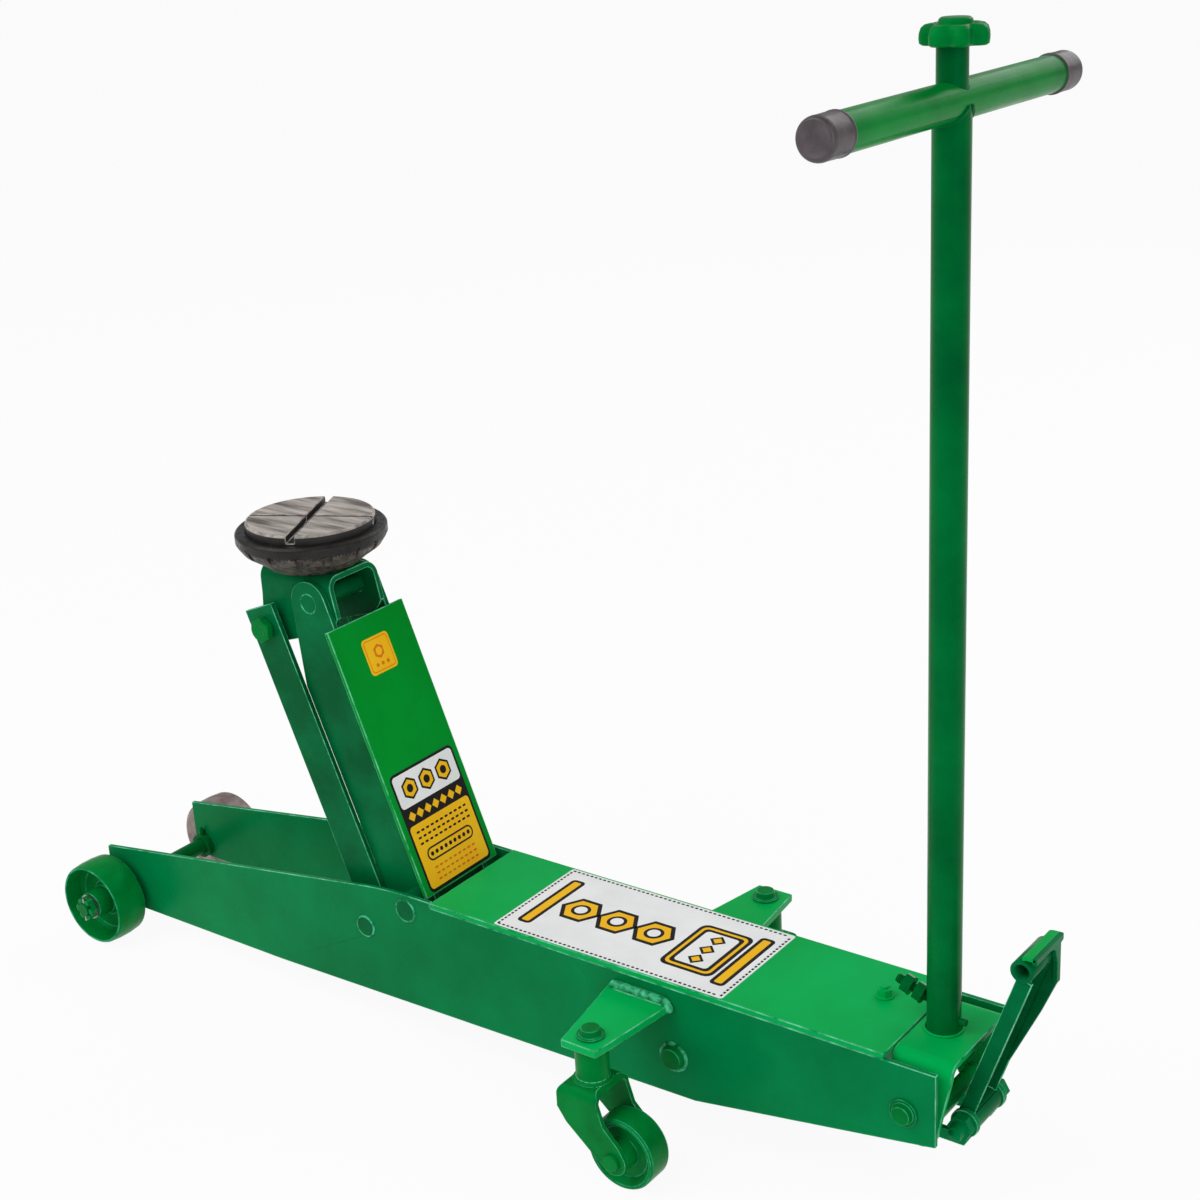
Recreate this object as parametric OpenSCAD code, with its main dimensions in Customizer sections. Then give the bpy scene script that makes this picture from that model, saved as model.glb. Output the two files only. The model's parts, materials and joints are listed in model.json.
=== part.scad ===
// Long-chassis hydraulic trolley jack, shown raised, with an upright T handle and a foot pedal.
// X runs from the lifting end (negative) to the handle end (positive), Z is up, the floor is Z = 0.
// Inside the modules X is measured from the front axle; on_floor() centres the whole jack on the origin.

/* [Chassis] */
// Width over the two side plates
chassis_w = 141; // [136:1:150]
// Thickness of a side plate
plate_t = 5; // [4:0.5:6]
// Distance from the front axle forward to the front edge of the side plates
nose_reach = 16; // [14:0.5:20]
// Height of the tip of the nose above the floor
nose_z = 104; // [96:1:110]
// Height of the level top edge of the side plates
deck_z = 166; // [162:1:170]
// Thickness of the top cover
cover_t = 6; // [4:0.5:8]
// Distance from the front axle to the rear end of the side plates
rear_x = 1092; // [1086:1:1100]
// Height of the flat lower edge
belly_z = 34; // [28:1:40]
// Distance from the front axle to the lowest corner of the rear rise
belly_bend_x = 830; // [800:1:860]
// Height of the lower edge at the rear rise
belly_bend_z = 47; // [42:1:52]
// Height of the lower rear corner
tail_z = 90.5; // [88:0.5:94]
// Radius of the rounded lower front corner
nose_r = 22; // [20:0.5:24]
// Distance from the front axle to the front edge of the top cover
cover_front_x = 500; // [494:1:508]
// Distance from the front axle to the rear edge of the top cover
cover_rear_x = 1039; // [1030:1:1039]

/* [Front axle and wheels] */
// Diameter of a front wheel
wheel_d = 100; // [98:1:104]
// Width of a front wheel
wheel_w = 43; // [38:1:46]
// Diameter of the axle between the side plates
axle_d = 20; // [18:0.5:21]
// Diameter of the wheel journals
journal_d = 16; // [14:0.5:17]
// Gap between a side plate and its wheel
wheel_gap = 5.5; // [5:0.5:8]
// Depth of the dish in a wheel's outer face
dish_depth = 24; // [18:1:28]

/* [Lift arm] */
// Distance between the arm's two pins
arm_len = 340; // [336:1:344]
// Elevation of the raised arm in degrees
arm_raised_deg = 68.4; // [68:0.1:69]
// Elevation of the lowered arm in degrees
arm_lowered_deg = -10.6; // [-11:0.1:-10]
// Distance from the front axle to the arm pivot
pivot_x = 465; // [460:1:470]
// Height of the arm pivot
pivot_z = 153.7; // [150:0.1:156]
// Diameter of the arm pivot shaft
pivot_d = 24; // [22:1:26]
// Thickness of an arm cheek
cheek_t = 6; // [5:0.5:7]
// Distance from the centre to the outer face of an arm cheek
cheek_y = 43.5; // [43.2:0.1:43.8]
// Radius of the arm's top end
arm_end_r = 24.5; // [23:0.5:25]
// Distance from the pivot back to the arm's rear edge
arm_back = 20.3; // [19:0.1:21]
// Distance from the pin line forward to the arm's front edge
arm_belly = 50; // [40:1:52]
// Distance from the top pin down to where the arm reaches its full depth
arm_belly_drop = 85; // [80:1:104]
// Width of the arm's cover plate
arm_cover_w = 117; // [112:1:120]
// Thickness of the arm's cover plate
arm_cover_t = 5; // [4:0.5:5]
// Length of the arm's cover plate
arm_cover_len = 302; // [296:1:303]
// Distance from the pivot to the crank pin that the ram pushes
crank_len = 70; // [68:0.5:72]
// Diameter of the crank pin
crank_pin_d = 14; // [12:0.5:16]
// Diameter of the roller on the crank pin
crank_roller_d = 28; // [26:0.5:30]

/* [Links and saddle head] */
// Distance that the link pins lie ahead of the arm pins
link_ahead = 61; // [59:0.5:63]
// Distance that the link pins lie below the arm pins
link_below = 36.5; // [35:0.5:38]
// Width of a link bar
link_w = 43; // [40:0.5:44]
// Thickness of a link bar
link_t = 6; // [5:0.5:6.5]
// Distance from the centre to the inner face of a link
link_y = 44.2; // [44:0.1:45]
// Distance from a link's pin to its square end
link_end = 24; // [22:0.5:26]
// Diameter of the link pins
link_pin_d = 18; // [16:0.5:20]
// Length of the saddle head along the jack
head_len = 99; // [96:1:102]
// Width over the saddle head
head_w = 74; // [72:0.5:74.5]
// Thickness of the saddle head's plate
head_t = 6; // [5:0.5:7]
// Height of the head's top above the arm's top pin
head_rise = 30.2; // [29:0.1:31]
// Diameter of the arm's top pin
head_pin_d = 20; // [18:0.5:22]

/* [Saddle] */
// Diameter of the saddle's flange
saddle_d = 162; // [156:1:166]
// Height of the saddle from its seat to the flange's top
saddle_h = 40.5; // [36:0.5:44]
// Thickness of the flange at its rim
saddle_rim_t = 14; // [12:0.5:16]
// Diameter of the saddle's foot
saddle_foot_d = 104; // [96:1:108]
// Diameter of the saddle's stud
saddle_stud_d = 28; // [24:1:32]
// Diameter of the rubber pad
pad_d = 138; // [132:1:142]
// Height of the pad above the flange
pad_h = 10; // [8:0.5:12]
// Depth of the pad's seat in the saddle
pad_recess = 5; // [4:0.5:6]
// Width of the wide groove across the pad
pad_groove_w = 9; // [7:0.5:10]
// Width of the narrow groove across the pad
pad_slit_w = 4; // [3:0.5:5]
// Depth of both grooves
pad_groove_depth = 8; // [6:0.5:8.5]
// Turn of the pad's cross from the jack's own axes
pad_turn_deg = 26; // [0:1:90]

/* [Rear casters] */
// Diameter of a caster wheel
caster_d = 75; // [72:1:76]
// Width of a caster wheel
caster_w = 30; // [28:1:32]
// Distance from the front axle to the caster's king bolt
king_x = 772.5; // [765:0.5:780]
// Distance from the centre to the king bolt
king_y = 156; // [154:1:160]
// Diameter of the king bolt
king_d = 16; // [14:0.5:17]
// Distance that the caster wheel trails behind its king bolt
caster_trail = 38; // [36:0.5:39]
// Height of the caster bracket's top face
bracket_z = 149; // [146:1:152]
// Thickness of the caster bracket
bracket_t = 8; // [6:0.5:9]
// Height of the top of the caster fork
fork_z = 104; // [102:0.5:106]
// Thickness of the fork's sheet
fork_t = 5; // [4:0.5:6]
// Clear width inside the fork
fork_gap = 44; // [42:0.5:45]
// Diameter of a caster's axle
caster_axle_d = 12; // [10:0.5:14]

/* [Hydraulic unit] */
// Height of the ram's axis
ram_z = 92; // [91:0.5:93]
// Diameter of the ram
ram_d = 36; // [32:1:38]
// Diameter of the ram's piston
piston_d = 42; // [40:1:44]
// Outer diameter of the cylinder
cylinder_d = 56; // [54:1:60]
// Outer diameter of the oil reservoir
tank_d = 84; // [80:1:86]
// Distance from the front axle to the front of the gland nut
gland_x = 550; // [548:1:554]
// Distance from the front axle to the front face of the pump block
block_x = 765; // [760:1:770]
// Length of the pump block
block_len = 85; // [82:1:88]
// Width of the pump block
block_w = 80; // [76:1:84]
// Diameter of the two bolts that hold the unit
unit_bolt_d = 20; // [18:1:22]
// Distance from the front axle to the bolts that hold the unit
unit_bolt_x = 807; // [802:1:812]
// Height of the bolts that hold the unit
unit_bolt_z = 90; // [88:1:94]
// Diameter of the pump plunger
plunger_d = 16; // [14:0.5:17]
// Height of the plunger's axis
plunger_z = 94.6; // [94:0.1:95]

/* [Handle] */
// Distance from the front axle to the handle's pivot bolts
yoke_x = 1060; // [1058:1:1062]
// Height of the handle's pivot bolts
yoke_z = 117.7; // [117:0.1:119]
// Length of the yoke along the jack
yoke_len = 61; // [59:0.5:62]
// Width over the yoke
yoke_w = 116; // [112:1:118]
// Thickness of the yoke's plate
yoke_t = 6; // [5:0.5:7]
// Height of the yoke's roof
yoke_roof_z = 170; // [168:0.5:172]
// Diameter of the yoke's pivot bolts
yoke_bolt_d = 16; // [14:0.5:18]
// Distance that the handle tube stands behind the yoke's pivot bolts
tube_setback = 3.5; // [2:0.5:5]
// Diameter of the handle tube and of the cross bar
tube_d = 32; // [30:0.5:34]
// Wall of both tubes
tube_wall = 3; // [2.5:0.1:3.4]
// Height of the cross bar's axis
bar_z = 1005.5; // [980:0.5:1030]
// Length over the cross bar's end caps
bar_len = 420; // [400:2:460]
// Length of an end cap
cap_len = 32; // [26:1:40]
// Diameter of the release knob
knob_d = 57; // [50:1:62]
// Thickness of the release knob's lobes
knob_t = 17; // [14:1:20]
// Lobes round the knob
knob_lobes = 7; // [5:1:9]
// Largest backward tilt of the handle in degrees
handle_tilt_deg = 45; // [40:1:45]

/* [Pedal] */
// Distance from the front axle to the pedal's bolt
pedal_x = 1100; // [1099:0.5:1102]
// Height of the pedal's bolt
pedal_z = 96; // [94:0.5:97]
// Backward lean of the pedal in degrees
pedal_lean_deg = 19.4; // [19:0.1:20.5]
// Width of the pedal's channel
pedal_w = 46; // [38:1:47]
// Length of the channel above its bolt
pedal_len = 171; // [168:1:174]
// Depth of the channel
pedal_depth = 15; // [13:0.5:16]
// Width of the foot plate
foot_w = 56; // [52:1:60]
// Height of the foot plate
foot_h = 50; // [44:1:56]
// Height of the foot plate's top edge above the floor
foot_z = 286; // [282:1:290]
// Diameter of the pedal's bolt
pedal_bolt_d = 14; // [12:0.5:15]

/* [Hidden] */
$fn = 48;

// Radial clearance of every pin and shaft in its hole
fit = 0.06;
// Gap where two pieces lie close without touching
seat_gap = 0.3;
// Overrun of cuts past a surface
over = 1;

chassis_half = chassis_w / 2;
plate_inner_y = chassis_half - plate_t;
shoulder_z = deck_z + cover_t;

// Pins in the raised pose
arm_dir = [-cos(arm_raised_deg), sin(arm_raised_deg)];
arm_normal = [sin(arm_raised_deg), cos(arm_raised_deg)];
head_pin_x = pivot_x + arm_len * arm_dir[0];
head_pin_z = pivot_z + arm_len * arm_dir[1];
link_foot_x = pivot_x - link_ahead;
link_foot_z = pivot_z - link_below;
link_top_x = head_pin_x - link_ahead;
link_top_z = head_pin_z - link_below;
arm_swing_deg = arm_raised_deg - arm_lowered_deg;
crank_x = pivot_x - crank_len * sin(arm_swing_deg / 2);
crank_z = pivot_z - crank_len * cos(arm_swing_deg / 2);

// Cross bar of the handle's yoke, which presses the pump's plunger
pump_crank_len = 24;
pump_bar_d = 18;
pump_x = yoke_x + pump_crank_len * sin(handle_tilt_deg / 2);
pump_z = yoke_z - pump_crank_len * cos(handle_tilt_deg / 2);
handle_x = yoke_x + tube_setback;

// The pedal's foot plate reaches furthest back, and sets the jack's middle
foot_t = 4.5;
roll_d = 22;
pedal_front = 0.77 * pedal_depth;
pedal_rear = pedal_depth - pedal_front;
roll_along = pedal_len + 0.37 * roll_d;
roll_across = pedal_rear - 0.57 * roll_d;
roll_x = pedal_x + roll_along * sin(pedal_lean_deg) + roll_across * cos(pedal_lean_deg);
roll_z = pedal_z + roll_along * cos(pedal_lean_deg) - roll_across * sin(pedal_lean_deg);
foot_front_x = roll_x + roll_d / 2 - seat_gap;
mid_x = (foot_front_x + foot_t - wheel_d / 2) / 2;

// Moves a piece drawn from the front axle into the jack's own frame
module on_floor() {
    translate([-mid_x, 0, 0]) children();
}

// Round bar along Y from one distance to another
module bar_y(x, z, y0, y1, d) {
    translate([x, y0, z]) rotate([-90, 0, 0]) cylinder(d = d, h = y1 - y0);
}

// Round bar along X from one distance to another
module bar_x(x0, x1, z, d) {
    translate([x0, 0, z]) rotate([0, 90, 0]) cylinder(d = d, h = x1 - x0);
}

// Ring along Y that runs or seats on a bar of the given diameter
module ring_y(x, z, y0, y1, d, bore_d) {
    difference() {
        bar_y(x, z, y0, y1, d);
        bar_y(x, z, y0 - over, y1 + over, bore_d + 2 * fit);
    }
}

// Flat plate whose outline is drawn in X and Z, from one distance along Y to another
module plate_y(y0, y1) {
    translate([0, y1, 0]) rotate([90, 0, 0]) linear_extrude(y1 - y0) children();
}

// Hexagonal prism along Y, a given width across its flats
module hex_y(x, z, y0, y1, across) {
    translate([x, y0, z]) rotate([-90, 0, 0]) cylinder(d = across / cos(30), h = y1 - y0, $fn = 6);
}

// Extrudes a section seen along the jack over a stretch of X
module along_x(x0, x1) {
    translate([x0, 0, 0]) rotate([90, 0, 90]) linear_extrude(x1 - x0) children();
}

// Sheet bent into an upturned U with rounded shoulders, seen along the jack
module bent_section(half, top_z, t, bend_r, foot_z) {
    difference() {
        union() {
            translate([-half, foot_z]) square([2 * half, top_z - bend_r - foot_z]);
            translate([-half + bend_r, foot_z]) square([2 * (half - bend_r), top_z - foot_z]);
            for (s = [-1, 1]) translate([s * (half - bend_r), top_z - bend_r]) circle(r = bend_r);
        }
        translate([-half + t, foot_z - over]) square([2 * (half - t), top_z - bend_r - foot_z + over]);
        translate([-half + bend_r, foot_z]) square([2 * (half - bend_r), top_z - t - foot_z]);
        for (s = [-1, 1]) translate([s * (half - bend_r), top_z - bend_r]) circle(r = bend_r - t);
    }
}

// Shows its children on the left or the right of the jack
module on_side(side) {
    if (side < 0) mirror([0, 1, 0]) children();
    else children();
}

module on_both() {
    for (side = [-1, 1]) on_side(side) children();
}

// Points of an arc round a centre
function arc(cx, cz, r, a0, a1, n = 8) =
    [for (i = [0 : n]) let (a = a0 + (a1 - a0) * i / n) [cx + r * cos(a), cz + r * sin(a)]];

// Curve that eases one straight edge into the next
function eased(p, q, s, n = 8) =
    [for (i = [0 : n]) let (t = i / n) (1 - t) * (1 - t) * p + 2 * t * (1 - t) * q + t * t * s];

// Chassis

deck_slope = 0.1495;
bend_len = 38;
bend_x = (shoulder_z - nose_z) / deck_slope - nose_reach;

module side_outline() {
    polygon(concat(
        [[-nose_reach, nose_z]],
        eased([bend_x - bend_len, shoulder_z - bend_len * deck_slope], [bend_x, shoulder_z],
            [bend_x + bend_len, shoulder_z]),
        [[cover_front_x - seat_gap, shoulder_z], [cover_front_x - seat_gap, deck_z]],
        [[rear_x, deck_z], [rear_x, tail_z], [belly_bend_x, belly_bend_z]],
        [[0.32 * belly_bend_x, belly_z]],
        arc(nose_r - nose_reach, belly_z + nose_r, nose_r, 270, 180)
    ));
}

module plate_hole(x, z, d) {
    bar_y(x, z, plate_inner_y - over, chassis_half + over, d + 2 * fit);
}

module side_plate(side) {
    color("seagreen") on_floor() on_side(side) difference() {
        plate_y(plate_inner_y, chassis_half) side_outline();
        plate_hole(0, wheel_d / 2, axle_d);
        plate_hole(pivot_x, pivot_z, pivot_d);
        plate_hole(link_foot_x, link_foot_z, link_pin_d);
        plate_hole(unit_bolt_x, unit_bolt_z, unit_bolt_d);
        plate_hole(yoke_x, yoke_z, yoke_bolt_d);
    }
}
module side_plate_left() { side_plate(-1); }
module side_plate_right() { side_plate(1); }

stud_d = 8;
stud_x = cover_rear_x - 5.8 * stud_d;
stud_y = 2.1 * stud_d;
stud_washer_t = 1.8;

module top_cover() {
    color("mediumseagreen") on_floor() difference() {
        translate([cover_front_x, -chassis_half, deck_z])
            cube([cover_rear_x - cover_front_x, chassis_w, cover_t]);
        translate([stud_x, stud_y, deck_z - over]) cylinder(d = stud_d + 2 * fit, h = cover_t + 2 * over);
    }
}

module cover_stud() {
    nut_z = cover_t + stud_washer_t;
    color("seagreen") on_floor() translate([stud_x, stud_y, deck_z]) {
        cylinder(d = stud_d, h = nut_z + 1.2 * stud_d);
        translate([0, 0, cover_t]) cylinder(d = 2.3 * stud_d, h = stud_washer_t);
        translate([0, 0, nut_z]) cylinder(d = 2 * stud_d, h = 0.9 * stud_d, $fn = 6);
    }
}

// Front axle and wheels

axle_z = wheel_d / 2;
wheel_inner_y = chassis_half + wheel_gap;
wheel_outer_y = wheel_inner_y + wheel_w;
hub_end_y = wheel_outer_y + 0.02 * wheel_w;
axle_washer_t = 2.2;
axle_nut_t = 9;
axle_nut_across = 24;
nut_slot_depth = 3.5;
split_pin_d = 3;
axle_nut_y = hub_end_y + axle_washer_t;
journal_end_y = axle_nut_y + axle_nut_t + split_pin_d / 2;

module front_axle() {
    shoulder_y = wheel_inner_y - axle_washer_t - seat_gap;
    color("seagreen") on_floor() {
        bar_y(0, axle_z, -shoulder_y, shoulder_y, axle_d);
        bar_y(0, axle_z, -journal_end_y, journal_end_y, journal_d);
    }
}

collar_d = 1.5 * axle_d;
collar_len = 0.4 * axle_d;
nipple_d = 0.75 * collar_len;

// Welded collars that carry the axle, each with a grease nipple on top
module axle_collars() {
    color("seagreen") on_floor() on_both() difference() {
        union() {
            bar_y(0, axle_z, plate_inner_y - collar_len, plate_inner_y, collar_d);
            translate([0, plate_inner_y - collar_len / 2, axle_z])
                cylinder(d = nipple_d, h = collar_d / 2 + nipple_d);
            translate([0, plate_inner_y - collar_len / 2, axle_z + collar_d / 2 + nipple_d])
                cylinder(d1 = nipple_d / 2, d2 = 0.8 * nipple_d, h = nipple_d / 2);
        }
        bar_y(0, axle_z, plate_inner_y - collar_len - over, plate_inner_y + over, axle_d + 2 * fit);
    }
}

module axle_washers() {
    inner_y = wheel_inner_y - axle_washer_t;
    color("silver") on_floor() on_both() {
        ring_y(0, axle_z, inner_y - seat_gap / 2, wheel_inner_y - seat_gap / 2, 2 * journal_d, journal_d);
        ring_y(0, axle_z, hub_end_y + seat_gap / 2, axle_nut_y, 1.9 * journal_d, journal_d);
    }
}

// Castle nut: six slots across a hexagon, with room for the split pin
module axle_nuts() {
    color("seagreen") on_floor() on_both() difference() {
        hex_y(0, axle_z, axle_nut_y, axle_nut_y + axle_nut_t, axle_nut_across);
        bar_y(0, axle_z, axle_nut_y - over, axle_nut_y + axle_nut_t + over, journal_d + 2 * fit);
        for (turn = [0 : 60 : 120]) translate([0, 0, axle_z]) rotate([0, turn, 0])
            translate([-0.6 * split_pin_d, axle_nut_y + axle_nut_t - nut_slot_depth, -axle_nut_across])
                cube([1.2 * split_pin_d, nut_slot_depth + over, 2 * axle_nut_across]);
    }
}

module split_pins() {
    pin_y = axle_nut_y + axle_nut_t - nut_slot_depth / 2;
    color("silver") on_floor() on_both() for (end = [-1, 1])
        translate([0, pin_y, axle_z]) rotate([end > 0 ? 0 : 180, 0, 0])
            translate([0, 0, journal_d / 2 + fit])
                cylinder(d = split_pin_d, h = 0.6 * axle_nut_across - journal_d / 2);
}

wheel_lip = 5;
wheel_hub_d = 34;

// Cast wheel with a deep dish, a hub boss and a slightly crowned tread
module front_wheel(side) {
    r = wheel_d / 2;
    hub_r = wheel_hub_d / 2;
    bore_r = journal_d / 2 + fit;
    web_y = wheel_w - dish_depth;
    hub_y = hub_end_y - wheel_inner_y;
    color("seagreen") on_floor() on_side(side) translate([0, wheel_inner_y, axle_z]) rotate([-90, 0, 0])
        rotate_extrude($fn = 72) polygon([
            [bore_r, 0], [r - 1.4 * wheel_lip, 0], [r - 0.8 * wheel_lip, 0.3 * wheel_lip],
            [r - wheel_lip / 4, 0.6 * wheel_lip], [r, 0.35 * wheel_w], [r, 0.65 * wheel_w],
            [r - wheel_lip / 4, wheel_w - wheel_lip / 2], [r - wheel_lip / 2, wheel_w],
            [r - 0.9 * wheel_lip, wheel_w], [r - 1.6 * wheel_lip, web_y + wheel_lip],
            [r - 2.4 * wheel_lip, web_y], [hub_r + 0.8 * wheel_lip, web_y],
            [hub_r, web_y + 0.8 * wheel_lip], [hub_r - 0.2 * wheel_lip, hub_y], [bore_r, hub_y]
        ]);
}
module front_wheel_left() { front_wheel(-1); }
module front_wheel_right() { front_wheel(1); }

// Pivots of the lift arm and its links

pivot_boss_h = 1.5;

module arm_pivot_shaft() {
    end_y = chassis_half + pivot_boss_h;
    color("seagreen") on_floor() {
        bar_y(pivot_x, pivot_z, -end_y, end_y, pivot_d);
        on_both() bar_y(pivot_x, pivot_z, cheek_y + seat_gap, plate_inner_y, 1.4 * pivot_d);
    }
}

link_boss_h = 2;

module link_pins() {
    color("seagreen") on_floor() on_both() {
        bar_y(link_foot_x, link_foot_z, link_y - seat_gap, chassis_half + link_boss_h, link_pin_d);
        bar_y(link_foot_x, link_foot_z, link_y + link_t + seat_gap, plate_inner_y, 1.55 * link_pin_d);
        bar_y(link_foot_x, link_foot_z, chassis_half, chassis_half + link_boss_h, 1.22 * link_pin_d);
    }
}

// Rear casters

bracket_root_len = 74;
bracket_tip_len = 41;
bracket_tip_y = king_y + bracket_tip_len / 2;
weld_d = 7;

module caster_bracket(side) {
    root_x = king_x - 0.55 * bracket_root_len;
    color("seagreen") on_floor() on_side(side) difference() {
        union() {
            translate([0, 0, bracket_z - bracket_t]) linear_extrude(bracket_t) polygon([
                [root_x, chassis_half], [root_x + bracket_root_len, chassis_half],
                [king_x + bracket_tip_len / 2, bracket_tip_y], [king_x - bracket_tip_len / 2, bracket_tip_y]
            ]);
            along_x(root_x + weld_d, root_x + bracket_root_len - weld_d)
                translate([chassis_half, bracket_z]) polygon(concat([[0, 0]], arc(0, 0, weld_d, 0, 90, 6)));
        }
        translate([king_x, king_y, 0]) cylinder(d = king_d + 2 * fit, h = 2 * bracket_z);
    }
}
module caster_bracket_left() { caster_bracket(-1); }
module caster_bracket_right() { caster_bracket(1); }

king_washer_t = 2.5;
king_head_h = 6.5;
king_nut_t = 7;
fork_crown_z = fork_z - fork_t;

module king_bolts() {
    nut_z = fork_crown_z - king_nut_t - seat_gap;
    color("seagreen") on_floor() on_both() translate([king_x, king_y, 0]) {
        translate([0, 0, nut_z]) cylinder(d = king_d, h = bracket_z - nut_z);
        translate([0, 0, bracket_z]) cylinder(d = 1.75 * king_d, h = king_washer_t);
        translate([0, 0, bracket_z + king_washer_t])
            cylinder(d1 = 1.4 * king_d, d2 = 1.15 * king_d, h = king_head_h);
        translate([0, 0, nut_z]) cylinder(d = 1.5 * king_d, h = king_nut_t, $fn = 6);
    }
}

fork_front = 25;
fork_rear = 22;
fork_bend_r = 12;
fork_end_r = 15;
fork_half = fork_gap / 2 + fork_t;
swivel_d = 33;

// Side view of the fork: a crown that sweeps down and back to the wheel's axle
module fork_outline() {
    polygon(concat(
        arc(fork_bend_r - fork_front, fork_z - fork_bend_r, fork_bend_r, 90, 180),
        [[-fork_front, fork_z - 2.2 * fork_bend_r], [-0.6 * fork_front, fork_z - 3.4 * fork_bend_r]],
        arc(caster_trail, caster_d / 2, fork_end_r, 220, 380, 12),
        [[caster_trail + 0.5 * fork_end_r, 0.72 * caster_d], [fork_rear + 1.3 * fork_t, 0.95 * caster_d]],
        [[fork_rear, fork_z - fork_bend_r], [fork_rear, fork_z - fork_t], [fork_rear - fork_t, fork_z]]
    ));
}

module caster_fork(side) {
    swivel_top_z = bracket_z - bracket_t - seat_gap;
    color("seagreen") on_floor() on_side(side) translate([king_x, king_y, 0]) difference() {
        union() {
            intersection() {
                plate_y(-fork_half - over, fork_half + over) fork_outline();
                along_x(-fork_z, fork_z) bent_section(fork_half, fork_z, fork_t, fork_bend_r, 0);
            }
            translate([0, 0, fork_z]) cylinder(d = swivel_d, h = swivel_top_z - fork_z);
            translate([0, 0, fork_z]) cylinder(d1 = 1.2 * swivel_d, d2 = swivel_d, h = 0.1 * swivel_d);
        }
        translate([0, 0, fork_crown_z - over]) cylinder(d = king_d + 2 * fit, h = bracket_z);
        bar_y(caster_trail, caster_d / 2, -fork_half - over, fork_half + over, caster_axle_d + 2 * fit);
    }
}
module caster_fork_left() { caster_fork(-1); }
module caster_fork_right() { caster_fork(1); }

axle_head_t = 4;

module caster_axle(side) {
    end_y = fork_half + axle_head_t;
    color("seagreen") on_floor() on_side(side) translate([king_x, king_y, 0]) {
        bar_y(caster_trail, caster_d / 2, -end_y, end_y, caster_axle_d);
        for (y0 = [-end_y, fork_half]) bar_y(caster_trail, caster_d / 2, y0, y0 + axle_head_t, 1.4 * caster_axle_d);
    }
}
module caster_axle_left() { caster_axle(-1); }
module caster_axle_right() { caster_axle(1); }

caster_lip = 4.5;
caster_hub_d = 28;

module caster_wheel(side) {
    r = caster_d / 2;
    half = caster_w / 2;
    bore_r = caster_axle_d / 2 + fit;
    hub_r = caster_hub_d / 2;
    hub_half = fork_gap / 2 - seat_gap;
    web = half / 2;
    profile = [
        [hub_r, hub_half], [hub_r + caster_lip / 2, web], [r - 2.4 * caster_lip, web],
        [r - 1.4 * caster_lip, half - caster_lip / 2], [r - caster_lip, half],
        [r - caster_lip / 3, half], [r, half - caster_lip / 2]
    ];
    color("seagreen") on_floor() on_side(side) translate([king_x + caster_trail, king_y, r]) rotate([-90, 0, 0])
        rotate_extrude($fn = 64) polygon(concat(
            [[bore_r, -hub_half]], [for (p = profile) [p[0], -p[1]]],
            [for (i = [len(profile) - 1 : -1 : 0]) profile[i]], [[bore_r, hub_half]]
        ));
}
module caster_wheel_left() { caster_wheel(-1); }
module caster_wheel_right() { caster_wheel(1); }

// Lift arm, drawn along its own axis from the pivot and then raised

module raised() {
    translate([pivot_x, 0, pivot_z]) rotate([0, 180 + arm_raised_deg, 0]) mirror([0, 0, 1]) children();
}

crank_along = (crank_x - pivot_x) * arm_dir[0] + (crank_z - pivot_z) * arm_dir[1];
crank_across = (crank_x - pivot_x) * arm_normal[0] + (crank_z - pivot_z) * arm_normal[1];
crank_lobe_r = 20;
crank_deg = atan2(-crank_across, -crank_along);
back_tilt_deg = asin(arm_end_r / norm([arm_len, arm_back])) - atan2(arm_back, arm_len);
front_tilt_deg = atan2(arm_belly - arm_end_r, arm_belly_drop);

// Outline of a cheek: straight at the back, deeper in front, with a lobe for the crank pin
module cheek_outline() {
    polygon(concat(
        arc(arm_len, 0, arm_end_r, 90 + back_tilt_deg, front_tilt_deg - 90, 14),
        [[arm_len - arm_belly_drop, -arm_belly], [arm_belly, -arm_belly]],
        arc(crank_along, crank_across, crank_lobe_r, crank_deg - 125, crank_deg - 270, 12),
        arc(0, 0, arm_back, crank_deg + 90, 90, 6)
    ));
}

module arm_cheek(side) {
    inner_y = cheek_y - cheek_t;
    color("seagreen") on_floor() on_side(side) difference() {
        raised() plate_y(inner_y, cheek_y) cheek_outline();
        bar_y(pivot_x, pivot_z, inner_y - over, cheek_y + over, pivot_d + 2 * fit);
        bar_y(head_pin_x, head_pin_z, inner_y - over, cheek_y + over, head_pin_d + 2 * fit);
        bar_y(crank_x, crank_z, inner_y - over, cheek_y + over, crank_pin_d + 2 * fit);
    }
}
module arm_cheek_left() { arm_cheek(-1); }
module arm_cheek_right() { arm_cheek(1); }

arm_cover_short = 33;

// Cover plate over the arm's back, which stops short of the top pin
module arm_cover() {
    color("mediumseagreen") on_floor() raised()
        translate([0, 0, arm_back]) rotate([0, -back_tilt_deg, 0])
            translate([arm_len - arm_cover_short - arm_cover_len, -arm_cover_w / 2, 0])
                cube([arm_cover_len, arm_cover_w, arm_cover_t]);
}

roller_half = 20;

module crank_pin() {
    color("silver") on_floor() {
        bar_y(crank_x, crank_z, -cheek_y, cheek_y, crank_pin_d);
        on_both() bar_y(crank_x, crank_z, roller_half + seat_gap, cheek_y - cheek_t, 1.4 * crank_pin_d);
    }
}

module crank_roller() {
    color("silver") on_floor() ring_y(crank_x, crank_z, -roller_half, roller_half, crank_roller_d, crank_pin_d);
}

module head_pin() {
    color("seagreen") on_floor() bar_y(head_pin_x, head_pin_z, -cheek_y, cheek_y, head_pin_d);
}

// Links and saddle head

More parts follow.
